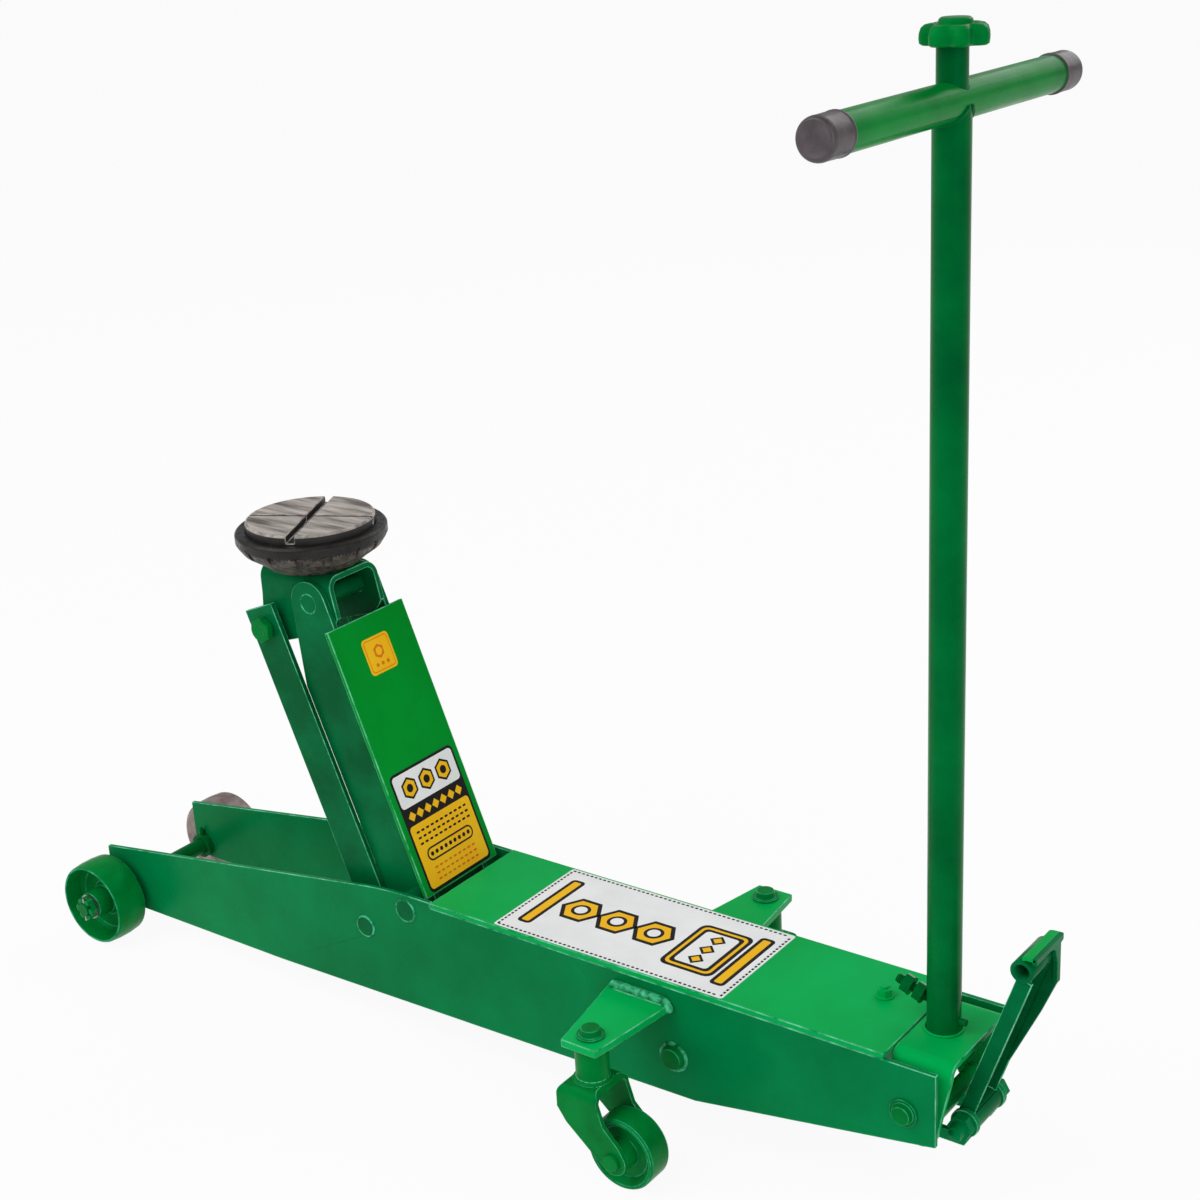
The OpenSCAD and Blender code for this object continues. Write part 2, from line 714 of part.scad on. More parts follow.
module link(side) {
    color("seagreen") on_floor() on_side(side) difference() {
        translate([link_foot_x, 0, link_foot_z]) rotate([0, 180 + arm_raised_deg, 0])
            translate([-link_end, link_y, -link_w / 2]) cube([arm_len + 2 * link_end, link_t, link_w]);
        bar_y(link_foot_x, link_foot_z, link_y - over, link_y + link_t + over, link_pin_d + 2 * fit);
        bar_y(link_top_x, link_top_z, link_y - over, link_y + link_t + over, link_pin_d + 2 * fit);
    }
}
module link_left() { link(-1); }
module link_right() { link(1); }

link_bolt_head_t = 3;

// Through bolt of both links, with a spacer on each side of the head and two round heads
module link_bolts() {
    end_y = link_y + link_t + seat_gap + link_bolt_head_t;
    color("seagreen") on_floor() {
        bar_y(link_top_x, link_top_z, -end_y, end_y, link_pin_d);
        on_both() {
            bar_y(link_top_x, link_top_z, head_w / 2, link_y - seat_gap, 1.4 * link_pin_d);
            bar_y(link_top_x, link_top_z, end_y - link_bolt_head_t, end_y, 1.35 * link_pin_d);
        }
    }
}

head_bend_r = 15;
head_rear_x = head_pin_x + 0.247 * head_len;
head_front_x = head_rear_x - head_len;
head_top_z = head_pin_z + head_rise;
head_lobe_r = 1.22 * head_rise;
link_boss_r = 20;
saddle_x = head_front_x + 0.471 * head_len;

// Side view of the head: level top and square front, with lobes round both pins
module head_outline() {
    mid_z = (head_top_z + link_top_z) / 2;
    polygon(concat(
        [[head_front_x, head_top_z], [head_front_x, mid_z]],
        arc(link_top_x, link_top_z, link_boss_r, 140, 295, 10),
        arc(head_pin_x, head_pin_z, head_lobe_r, -62, -22, 4),
        [[head_rear_x, head_top_z]]
    ));
}

module saddle_head() {
    depth = head_rise + link_below + 2 * link_boss_r;
    color("seagreen") on_floor() difference() {
        intersection() {
            plate_y(-head_w, head_w) head_outline();
            along_x(head_front_x - head_len, head_rear_x + head_len)
                bent_section(head_w / 2, head_top_z, head_t, head_bend_r, head_top_z - depth);
        }
        bar_y(head_pin_x, head_pin_z, -head_w, head_w, head_pin_d + 2 * fit);
        bar_y(link_top_x, link_top_z, -head_w, head_w, link_pin_d + 2 * fit);
        translate([saddle_x, 0, head_top_z - head_t - over])
            cylinder(d = saddle_stud_d + 2 * fit, h = head_t + 2 * over);
    }
}

saddle_seat_z = head_top_z + seat_gap;
stud_nut_t = 8;
notch_count = 16;

// Cast saddle: flange, tapered underside with cast notches, seat for the pad and a stud
module saddle_cup() {
    r = saddle_d / 2;
    foot_r = saddle_foot_d / 2;
    taper = r - foot_r;
    rim_z = saddle_h - saddle_rim_t;
    stud_len = head_t + 2 * seat_gap + stud_nut_t;
    color("dimgray") on_floor() translate([saddle_x, 0, saddle_seat_z]) {
        difference() {
            rotate_extrude($fn = 96) polygon([
                [0, -stud_len], [saddle_stud_d / 2, -stud_len], [saddle_stud_d / 2, 0],
                [foot_r - 0.1 * rim_z, 0], [foot_r, 0.1 * rim_z], [foot_r + 0.36 * taper, 0.4 * rim_z],
                [foot_r + 0.76 * taper, 0.7 * rim_z], [r - 0.1 * saddle_rim_t, rim_z],
                [r, rim_z + 0.2 * saddle_rim_t], [r, saddle_h - 0.2 * saddle_rim_t],
                [r - 0.2 * saddle_rim_t, saddle_h], [pad_d / 2 + fit, saddle_h],
                [pad_d / 2 + fit, saddle_h - pad_recess], [0, saddle_h - pad_recess]
            ]);
            for (i = [0 : notch_count - 1]) rotate((i + 0.5) * 360 / notch_count)
                translate([0.9 * r, -0.05 * r, -over])
                    cube([0.2 * r, 0.1 * r, rim_z + over + 0.15 * saddle_rim_t]);
        }
        translate([0, 0, -stud_len]) cylinder(d = 1.45 * saddle_stud_d, h = stud_nut_t, $fn = 6);
    }
}

module saddle_pad() {
    top = pad_recess + pad_h;
    edge = 0.15 * pad_h;
    color("darkslategray") on_floor() translate([saddle_x, 0, saddle_seat_z + saddle_h - pad_recess])
        rotate(pad_turn_deg) difference() {
            rotate_extrude($fn = 96) polygon([
                [0, 0], [pad_d / 2, 0], [pad_d / 2, top - edge], [pad_d / 2 - edge, top], [0, top]
            ]);
            translate([-pad_groove_w / 2, -pad_d, top - pad_groove_depth])
                cube([pad_groove_w, 2 * pad_d, pad_groove_depth + over]);
            translate([-pad_d, -pad_slit_w / 2, top - pad_groove_depth])
                cube([2 * pad_d, pad_slit_w, pad_groove_depth + over]);
        }
}

// Ram and hydraulic unit

ram_head_x = crank_x + crank_roller_d / 2 + seat_gap;
ram_head_len = 18;
ram_len = 190;
ram_head_w = 2.2 * roller_half;
ram_head_h = 1.35 * crank_roller_d;
piston_len = 20;
gland_len = 16;
ram_bore_x = gland_x + gland_len;

module ram() {
    foot_x = ram_head_x + ram_head_len + ram_len;
    color("silver") on_floor() {
        bar_x(ram_head_x + ram_head_len, foot_x, ram_z, ram_d);
        bar_x(foot_x - piston_len, foot_x, ram_z, piston_d);
    }
}

module ram_head() {
    color("dimgray") on_floor() translate([ram_head_x, -ram_head_w / 2, ram_z - ram_head_h / 2])
        cube([ram_head_len, ram_head_w, ram_head_h]);
}

spanner_slot_w = 6;

// Gland nut with six spanner slots round its rim
module gland_nut() {
    color("silver") on_floor() difference() {
        bar_x(gland_x, ram_bore_x, ram_z, 1.16 * cylinder_d);
        bar_x(gland_x - over, ram_bore_x + over, ram_z, ram_d + 2 * fit);
        for (turn = [0 : 60 : 300]) translate([gland_x + gland_len / 2, 0, ram_z]) rotate([turn, 0, 0])
            translate([0, 0, 0.58 * cylinder_d])
                cube([gland_len + over, spanner_slot_w, spanner_slot_w], center = true);
    }
}

module cylinder_tube() {
    color("silver") on_floor() difference() {
        bar_x(ram_bore_x, block_x, ram_z, cylinder_d);
        bar_x(ram_bore_x - over, block_x + over, ram_z, piston_d + 2 * fit);
    }
}

tank_wall = 3;
tank_cap_t = 6;
plug_d = 10;
plug_x = block_x - 6 * plug_d;

module reservoir() {
    color("seagreen") on_floor() difference() {
        bar_x(ram_bore_x, block_x, ram_z, tank_d);
        bar_x(ram_bore_x + tank_cap_t, block_x + over, ram_z, tank_d - 2 * tank_wall);
        bar_x(ram_bore_x - over, block_x, ram_z, cylinder_d + 2 * fit);
        translate([plug_x, 0, ram_z]) cylinder(d = plug_d + 2 * fit, h = tank_d);
    }
}

module filler_plug() {
    color("dimgray") on_floor() translate([plug_x, 0, ram_z + tank_d / 2]) {
        translate([0, 0, -tank_wall]) cylinder(d = plug_d, h = tank_wall + fit);
        translate([0, 0, fit]) cylinder(d = 1.8 * plug_d, h = plug_d / 2);
    }
}

block_top_z = 152;
block_bottom_z = 48;
barrel_d = 30;
barrel_len = 55;
barrel_nut_len = 14;
barrel_x = block_x + block_len;
push_rod_d = 10;
push_rod_z = 142;
push_rod_depth = 18;

module pump_block() {
    color("seagreen") on_floor() difference() {
        translate([block_x, -block_w / 2, block_bottom_z]) cube([block_len, block_w, block_top_z - block_bottom_z]);
        on_both() bar_y(unit_bolt_x, unit_bolt_z, block_w / 3, block_w, unit_bolt_d + 2 * fit);
        bar_x(barrel_x - 2 * push_rod_depth, barrel_x + over, push_rod_z, push_rod_d + 2 * fit);
    }
}

unit_head_h = 7;

module unit_bolts() {
    color("seagreen") on_floor() on_both() {
        bar_y(unit_bolt_x, unit_bolt_z, block_w / 3 + seat_gap, chassis_half, unit_bolt_d);
        bar_y(unit_bolt_x, unit_bolt_z, block_w / 2, plate_inner_y, 1.5 * unit_bolt_d);
        translate([unit_bolt_x, chassis_half, unit_bolt_z]) rotate([-90, 0, 0])
            cylinder(d1 = 1.35 * unit_bolt_d, d2 = 1.1 * unit_bolt_d, h = unit_head_h);
    }
}

module pump_barrel() {
    color("silver") on_floor() difference() {
        union() {
            bar_x(barrel_x, barrel_x + barrel_len, plunger_z, barrel_d);
            translate([barrel_x + barrel_len - barrel_nut_len, 0, plunger_z]) rotate([0, 90, 0])
                cylinder(d = 1.3 * barrel_d, h = barrel_nut_len, $fn = 6);
        }
        bar_x(barrel_x - over, barrel_x + barrel_len + over, plunger_z, plunger_d + 2 * fit);
    }
}

cross_plate_lead = 75;
cross_plate_x = yoke_x - cross_plate_lead;
cross_plate_t = 6;
cross_plate_z = 78;
spring_turns = 7;
spring_wire = 2.2;
spring_r = 11.4;
spring_collar_len = 4;
plunger_end_x = pump_x - pump_bar_d / 2 - seat_gap;
spring_collar_x = plunger_end_x - 3 * spring_collar_len;

module pump_plunger() {
    color("silver") on_floor() {
        bar_x(barrel_x + barrel_len / 2, plunger_end_x, plunger_z, plunger_d);
        bar_x(spring_collar_x, spring_collar_x + spring_collar_len, plunger_z, 2 * spring_r + spring_wire);
    }
}

// Coil spring round the plunger, one unbroken tube
spring_start_x = cross_plate_x + cross_plate_t + seat_gap + spring_wire / 2;
spring_len = spring_collar_x - seat_gap - spring_wire / 2 - spring_start_x;
spring_rings = spring_turns * 10;

function ring_point(i, j) = let (
        turn = 360 * spring_turns * i / spring_rings,
        side = 60 * j,
        r = spring_r + spring_wire / 2 * cos(side)
    ) [spring_start_x + spring_len * i / spring_rings + spring_wire / 2 * sin(side),
       r * sin(turn), plunger_z + r * cos(turn)];

module plunger_spring() {
    points = [for (i = [0 : spring_rings], j = [0 : 5]) ring_point(i, j)];
    sides = [for (i = [0 : spring_rings - 1], j = [0 : 5], k = [0, 1]) let (
            a = 6 * i + j, b = 6 * i + (j + 1) % 6
        ) k == 0 ? [a, b, b + 6] : [a, b + 6, a + 6]];
    last = 6 * spring_rings;
    ends = concat([for (j = [1 : 4]) [0, j + 1, j]], [for (j = [1 : 4]) [last, last + j, last + j + 1]]);
    color("silver") on_floor() polyhedron(points = points, faces = concat(sides, ends));
}

lug_y = 24;
lug_t = 6;
lug_r = 14;
lug_foot_z = 72;
lug_h = 12;

// End of a lug: a foot that rises in front and rounds over the pedal's bolt
module lug_outline() {
    polygon(concat(
        [[pedal_x - lug_r, lug_foot_z + lug_h], [pedal_x - lug_r, lug_foot_z], [pedal_x, lug_foot_z]],
        arc(pedal_x, pedal_z, lug_r, -60, 180, 16)
    ));
}

// Cross plate that ties the rear of the chassis and carries the pedal's two L-shaped lugs
module rear_cross_plate() {
    rear = cross_plate_x + cross_plate_t;
    color("seagreen") on_floor() difference() {
        union() {
            translate([cross_plate_x, -plate_inner_y, cross_plate_z])
                cube([cross_plate_t, 2 * plate_inner_y, deck_z - cross_plate_z]);
            translate([cross_plate_x, -lug_y - lug_t, lug_foot_z])
                cube([cross_plate_t, 2 * (lug_y + lug_t), cross_plate_z - lug_foot_z]);
            on_both() {
                translate([rear, lug_y, lug_foot_z]) cube([pedal_x - lug_r - rear + over, lug_t, lug_h]);
                plate_y(lug_y, lug_y + lug_t) lug_outline();
            }
        }
        bar_x(cross_plate_x - over, rear + over, plunger_z, plunger_d + over);
        bar_x(cross_plate_x - over, rear + over, push_rod_z, push_rod_d + over);
        bar_y(pedal_x, pedal_z, -plate_inner_y, plate_inner_y, pedal_bolt_d + 2 * fit);
    }
}

// Handle yoke, its bolts and washers

yoke_half = yoke_w / 2;
yoke_bend_r = 14;
yoke_front_x = yoke_x - 0.33 * yoke_len;
yoke_head_h = 5.5;
yoke_washer_t = 2.5;

module yoke_bolts() {
    color("seagreen") on_floor() on_both() {
        bar_y(yoke_x, yoke_z, yoke_half - yoke_t, chassis_half, yoke_bolt_d);
        bar_y(yoke_x, yoke_z, chassis_half, chassis_half + yoke_washer_t, 1.75 * yoke_bolt_d);
        translate([yoke_x, chassis_half + yoke_washer_t, yoke_z]) rotate([-90, 0, 0])
            cylinder(d1 = 1.35 * yoke_bolt_d, d2 = 1.15 * yoke_bolt_d, h = yoke_head_h);
    }
}

module yoke_washers() {
    color("silver") on_floor() on_both()
        ring_y(yoke_x, yoke_z, yoke_half + seat_gap, plate_inner_y, 1.75 * yoke_bolt_d, yoke_bolt_d);
}

// Side view of a leg: full length under the roof, narrowing to the bolt and the cross bar
module leg_outline() {
    hull() {
        translate([yoke_front_x, yoke_roof_z - yoke_bend_r]) square([yoke_len, yoke_bend_r]);
        translate([yoke_x, yoke_z]) circle(r = yoke_x - yoke_front_x, $fn = 32);
        translate([pump_x, pump_z]) circle(r = pump_bar_d, $fn = 32);
    }
}

release_d = 12;

module handle_yoke() {
    color("seagreen") on_floor() {
        difference() {
            intersection() {
                plate_y(-yoke_w, yoke_w) leg_outline();
                along_x(yoke_front_x - yoke_len, yoke_front_x + 2 * yoke_len)
                    bent_section(yoke_half, yoke_roof_z, yoke_t, yoke_bend_r, 0);
            }
            bar_y(yoke_x, yoke_z, -yoke_w, yoke_w, yoke_bolt_d + 2 * fit);
            translate([handle_x, 0, yoke_roof_z - yoke_t - over])
                cylinder(d = release_d + 2 * fit, h = yoke_t + 2 * over);
        }
        bar_y(pump_x, pump_z, yoke_t / 2 - yoke_half, yoke_half - yoke_t / 2, pump_bar_d);
    }
}

base_ring_d = 36;
base_ring_h = 4;
base_screw_d = 7;
base_screw_z = 182;
lock_bolt_d = 10;
lock_bolt_len = 34;
lock_bolt_z = 197;
lock_bolt_rise_deg = 20;
tube_bore_d = tube_d - 2 * tube_wall;

// Places its children along the lock bolt, which points forward and up out of the tube
module along_lock_bolt() {
    translate([handle_x - tube_d / 2, 0, lock_bolt_z]) rotate([0, lock_bolt_rise_deg - 90, 0]) children();
}

module handle_tube() {
    color("seagreen") on_floor() difference() {
        union() {
            translate([handle_x, 0, yoke_roof_z]) cylinder(d = tube_d, h = bar_z - yoke_roof_z);
            translate([handle_x, 0, yoke_roof_z]) cylinder(d1 = base_ring_d, d2 = tube_d, h = base_ring_h);
            translate([handle_x + tube_d / 2 - tube_wall, 0, base_screw_z]) rotate([0, 90, 0])
                cylinder(d = base_screw_d, h = base_screw_d + tube_wall);
        }
        translate([handle_x, 0, yoke_roof_z - over]) cylinder(d = tube_bore_d, h = bar_z);
        bar_y(handle_x, bar_z, -tube_d, tube_d, tube_d + 2 * fit);
        along_lock_bolt() translate([0, 0, -lock_bolt_d]) cylinder(d = lock_bolt_d + 2 * fit, h = lock_bolt_len);
    }
}

cap_wall = 1.5;
bar_half = bar_len / 2;

module handle_bar() {
    half = bar_half - 2 * cap_wall;
    color("seagreen") on_floor() difference() {
        bar_y(handle_x, bar_z, -half, half, tube_d);
        bar_y(handle_x, bar_z, -half - over, half + over, tube_bore_d);
        translate([handle_x, 0, bar_z - tube_d]) cylinder(d = tube_bore_d + 2 * fit, h = 2 * tube_d);
    }
}

module bar_caps() {
    outer_r = tube_d / 2 + cap_wall;
    color("dimgray") on_floor() on_both() difference() {
        translate([handle_x, bar_half - cap_len, bar_z]) rotate([-90, 0, 0]) rotate_extrude() polygon([
            [0, 0], [outer_r - 0.4 * cap_wall, 0], [outer_r, cap_wall],
            [outer_r, cap_len - 2 * cap_wall], [outer_r - 2 * cap_wall, cap_len], [0, cap_len]
        ]);
        bar_y(handle_x, bar_z, bar_half - cap_len - over, bar_half - 2 * cap_wall, tube_d + 2 * fit);
    }
}

module lock_bolt() {
    color("seagreen") on_floor() along_lock_bolt() cylinder(d = lock_bolt_d, h = lock_bolt_len);
}

// A nut welded against the tube, and a lock nut with a washer further out
module lock_nuts() {
    weld_nut_at = 0.55 * lock_bolt_d;
    lock_nut_at = 1.9 * lock_bolt_d;
    nut_t = 0.8 * lock_bolt_d;
    color("seagreen") on_floor() along_lock_bolt() difference() {
        union() {
            translate([0, 0, weld_nut_at]) cylinder(d = 1.9 * lock_bolt_d, h = nut_t, $fn = 6);
            translate([0, 0, lock_nut_at]) cylinder(d = 1.9 * lock_bolt_d, h = nut_t, $fn = 6);
            translate([0, 0, lock_nut_at - 0.2 * nut_t]) cylinder(d = 1.9 * lock_bolt_d, h = 0.2 * nut_t);
        }
        cylinder(d = lock_bolt_d + 2 * fit, h = lock_bolt_len);
    }
}

cam_d = 30;
cam_t = 8;
cam_throw = 3;
cam_z = push_rod_z - cam_t / 2;
sleeve_len = 3.4 * tube_d;
sleeve_top_z = bar_z + 1.34 * tube_d;

// Release rod: a sleeve in the tube's top, a long thin rod and an eccentric cam at its foot
module release_rod() {
    color("seagreen") on_floor() translate([handle_x, 0, 0]) {
        translate([0, 0, sleeve_top_z - sleeve_len]) cylinder(d = tube_bore_d - 2 * fit, h = sleeve_len);
        translate([0, 0, push_rod_z]) cylinder(d = release_d, h = bar_z - push_rod_z);
        translate([cam_throw, 0, cam_z]) cylinder(d = cam_d, h = cam_t);
    }
}

// Cast star knob with round lobes and a low hub
module release_knob() {
    lobe_r = 0.15 * knob_d;
    hub_h = 1.25 * knob_t;
    color("seagreen") on_floor() translate([handle_x, 0, sleeve_top_z]) {
        cylinder(d = 0.74 * knob_d, h = knob_t);
        for (i = [0 : knob_lobes - 1]) rotate(i * 360 / knob_lobes)
            translate([knob_d / 2 - lobe_r, 0, 0.1 * knob_t]) cylinder(r = lobe_r, h = 0.8 * knob_t, $fn = 24);
        cylinder(d = 0.5 * knob_d, h = hub_h);
    }
}

module release_push_rod() {
    cam_front = handle_x + cam_throw - cam_d / 2 - seat_gap;
    color("silver") on_floor() bar_x(barrel_x - push_rod_depth, cam_front, push_rod_z, push_rod_d);
}

// Foot pedal, drawn upright from its bolt and then leaned back

module leaned() {
    translate([pedal_x, 0, pedal_z]) rotate([0, pedal_lean_deg, 0]) children();
}

pedal_t = 3.5;
pedal_hub_d = 24;

module pedal_arm() {
    half = pedal_w / 2;
    hub_half = lug_y - seat_gap;
    color("seagreen") on_floor() difference() {
        union() {
            leaned() difference() {
                translate([-pedal_front, -half, 0]) cube([pedal_depth, pedal_w, pedal_len]);
                translate([pedal_t - pedal_front, -half + pedal_t, -over])
                    cube([pedal_depth, pedal_w - 2 * pedal_t, pedal_len + 2 * over]);
            }
            bar_y(pedal_x, pedal_z, -hub_half, hub_half, pedal_hub_d);
        }
        bar_y(pedal_x, pedal_z, -pedal_w, pedal_w, pedal_bolt_d + 2 * fit);
    }
}

foot_lip_len = 20;
foot_lip_t = 4;

// Foot plate: an upright angle behind the top of the channel, with a rolled cross tube under its lip
module pedal_pad() {
    half = foot_w / 2;
    roll_half = half - foot_t / 2;
    color("seagreen") on_floor() difference() {
        union() {
            difference() {
                union() {
                    translate([foot_front_x, -half, foot_z - foot_h]) cube([foot_t, foot_w, foot_h]);
                    bar_y(roll_x, roll_z, -roll_half, roll_half, roll_d);
                }
                leaned() translate([-pedal_front, -pedal_w / 2 - seat_gap, 0])
                    cube([pedal_depth + fit, pedal_w + 2 * seat_gap, pedal_len + fit]);
            }
            translate([foot_front_x + foot_t - foot_lip_len, -half, foot_z - foot_lip_t])
                cube([foot_lip_len, foot_w, foot_lip_t]);
        }
        bar_y(roll_x, roll_z, -foot_w, foot_w, roll_d - 2 * pedal_t);
    }
}

// Pedal bolt with its head on the right, and on the left a nut and a bare threaded end
module pedal_bolt() {
    lug_outer = lug_y + lug_t;
    across = 1.55 * pedal_bolt_d;
    nut_t = 0.7 * pedal_bolt_d;
    color("seagreen") on_floor() {
        bar_y(pedal_x, pedal_z, -lug_outer - 2.1 * nut_t, lug_outer + nut_t, pedal_bolt_d);
        hex_y(pedal_x, pedal_z, lug_outer, lug_outer + nut_t, across);
        hex_y(pedal_x, pedal_z, -lug_outer - nut_t, -lug_outer, across);
    }
}

side_plate_left();
side_plate_right();
top_cover();
front_axle();
axle_collars();
axle_washers();
axle_nuts();
split_pins();
front_wheel_left();
front_wheel_right();
arm_pivot_shaft();
link_pins();
caster_bracket_left();
caster_bracket_right();
king_bolts();
pump_block();
reservoir();
cylinder_tube();  // cylinder
gland_nut();
unit_bolts();
filler_plug();
pump_barrel();
rear_cross_plate();
yoke_bolts();
yoke_washers();
cover_stud();
caster_fork_left();
caster_fork_right();
caster_axle_left();
caster_axle_right();
caster_wheel_left();
caster_wheel_right();
arm_cheek_left();
arm_cheek_right();
arm_cover();
crank_pin();
crank_roller();
head_pin();
link_left();
link_right();
link_bolts();
saddle_head();
saddle_cup();
saddle_pad();
ram();
ram_head();
handle_yoke();
handle_tube();
handle_bar();
bar_caps();
lock_bolt();
lock_nuts();
release_rod();
release_knob();
pedal_arm();
pedal_pad();
pedal_bolt();
pump_plunger();
plunger_spring();
release_push_rod();
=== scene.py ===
# Hydraulic trolley jack, raised, with an upright T handle: its looks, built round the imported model.
# Metres, X to the handle end, Z up, floor at Z = 0. Sizes in the dictionaries are millimetres.
import json
import math

import bmesh
import bpy
import numpy as np
from mathutils import Matrix, Vector


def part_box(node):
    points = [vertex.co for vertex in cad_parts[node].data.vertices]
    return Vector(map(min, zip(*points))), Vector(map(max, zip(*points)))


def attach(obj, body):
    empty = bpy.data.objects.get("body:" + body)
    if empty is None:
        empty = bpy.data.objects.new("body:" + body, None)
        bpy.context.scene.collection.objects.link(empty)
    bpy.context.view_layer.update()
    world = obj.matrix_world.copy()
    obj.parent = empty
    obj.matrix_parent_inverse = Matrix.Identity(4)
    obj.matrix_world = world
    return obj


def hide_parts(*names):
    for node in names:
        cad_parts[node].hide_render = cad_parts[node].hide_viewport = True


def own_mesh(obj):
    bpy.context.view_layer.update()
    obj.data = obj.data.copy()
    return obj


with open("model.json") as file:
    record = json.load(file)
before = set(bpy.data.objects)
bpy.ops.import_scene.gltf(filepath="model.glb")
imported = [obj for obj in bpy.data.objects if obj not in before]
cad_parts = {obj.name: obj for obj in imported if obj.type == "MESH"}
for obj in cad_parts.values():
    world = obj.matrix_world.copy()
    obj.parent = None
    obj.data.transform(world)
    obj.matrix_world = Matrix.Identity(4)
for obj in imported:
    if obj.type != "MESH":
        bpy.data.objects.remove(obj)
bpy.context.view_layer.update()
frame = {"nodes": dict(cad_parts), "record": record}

mm = 0.001
bodyOf = {n: b for b, members in frame["record"]["behaviour"]["bodies"].items() for n in members}
print("frame loaded:", len(frame["nodes"]), "nodes")

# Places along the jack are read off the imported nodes, so they stay with the solids


# The middle of a node's box, in metres.
def middle(name):
    low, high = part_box(name)
    return (low + high) / 2


# Camera, from the perspective of the photograph

cameraView = {
    "place": (1262.07, -1477.28, 1217.38),
    "yaw": 36.965,  # degrees to the left of straight along +Y
    "pitch": -20.492,
    "roll": -2.971,
    "lens": 61.87,
    "sensor": 36.0,
    "shiftX": -0.0109,
}


# A camera turned by yaw, then pitch, then roll about its own line of sight.
def addCamera(view):
    yaw, pitch, roll = (math.radians(view[k]) for k in ("yaw", "pitch", "roll"))
    ahead = Vector((-math.sin(yaw) * math.cos(pitch), math.cos(yaw) * math.cos(pitch),
                    math.sin(pitch)))
    level = Vector((math.cos(yaw), math.sin(yaw), 0))
    above = level.cross(ahead)
    right = math.cos(roll) * level + math.sin(roll) * above
    up = -math.sin(roll) * level + math.cos(roll) * above
    data = bpy.data.cameras.new("camera")
    data.lens, data.sensor_width, data.shift_x = view["lens"], view["sensor"], view["shiftX"]
    data.clip_start, data.clip_end = 0.01, 200
    cam = bpy.data.objects.new("camera", data)
    bpy.context.scene.collection.objects.link(cam)
    turn = Matrix((right, up, -ahead)).transposed()
    cam.matrix_world = Matrix.Translation(Vector(view["place"]) * mm) @ turn.to_4x4()
    bpy.context.scene.camera = cam


addCamera(cameraView)
print("camera placed")

# Materials


# sRGB hex such as 00A052 to linear red, green, blue and full alpha.
def linear(hexColour):
    parts = [int(hexColour[i:i + 2], 16) / 255 for i in (0, 2, 4)]
    return [c / 12.92 if c <= 0.04045 else ((c + 0.055) / 1.055) ** 2.4 for c in parts] + [1.0]


# One node with its settings: names of sockets or of properties, and links as socket: other socket.
def add(tree, kind, settings=None, links=None):
    made = tree.nodes.new(kind)
    for key, value in (settings or {}).items():
        if isinstance(key, int) or key in made.inputs:
            made.inputs[key].default_value = value
        else:
            setattr(made, key, value)
    for key, source in (links or {}).items():
        tree.links.new(source, made.inputs[key])
    return made


# Scale of a noise whose blotches are about sizeMm across.
def patternScale(sizeMm):
    return 1 / (sizeMm * mm)


# An empty node material with a Principled shader wired to its output.
def newMaterial(name, settings):
    made = bpy.data.materials.new(name)
    made.use_nodes = True
    tree = made.node_tree
    tree.nodes.clear()
    shader = add(tree, "ShaderNodeBsdfPrincipled", settings)
    add(tree, "ShaderNodeOutputMaterial", links={"Surface": shader.outputs[0]})
    return made, tree, shader


# Base colour between two hex values by a slow noise, roughness by a second, bump by a fine third.
def mottled(name, look):
    made, tree, shader = newMaterial(name, look.get("shader", {}))
    place = add(tree, "ShaderNodeTexCoord").outputs["Object"]
    if "stretch" in look:
        place = add(tree, "ShaderNodeMapping",
                    {"Scale": look["stretch"], "Rotation": look.get("turn", (0, 0, 0))},
                    {"Vector": place}).outputs[0]
    slow = add(tree, "ShaderNodeTexNoise",
               {"Scale": patternScale(look["blotch"]), "Detail": 4.0, "Roughness": 0.6},
               {"Vector": place})
    blend = add(tree, "ShaderNodeMapRange", {"From Min": 0.35, "From Max": 0.65},
                {"Value": slow.outputs[0]})
    colour = add(tree, "ShaderNodeMix",
                 {"data_type": "RGBA", 6: linear(look["dark"]), 7: linear(look["light"])},
                 {0: blend.outputs[0]})
    tree.links.new(colour.outputs[2], shader.inputs["Base Color"])
    smudge = add(tree, "ShaderNodeTexNoise",
                 {"Scale": patternScale(look["smudge"]), "Detail": 3.0}, {"Vector": place})
    low, high = look["roughness"]
    rough = add(tree, "ShaderNodeMapRange",
                {"From Min": 0.3, "From Max": 0.7, "To Min": low, "To Max": high},
                {"Value": smudge.outputs[0]})
    tree.links.new(rough.outputs[0], shader.inputs["Roughness"])
    grain = add(tree, "ShaderNodeTexNoise",
                {"Scale": patternScale(look["grain"]), "Detail": 2.0}, {"Vector": place})
    bump = add(tree, "ShaderNodeBump",
               {"Strength": look["bump"], "Distance": look["height"] * mm},
               {"Height": grain.outputs[0]})
    tree.links.new(bump.outputs[0], shader.inputs["Normal"])
    return made


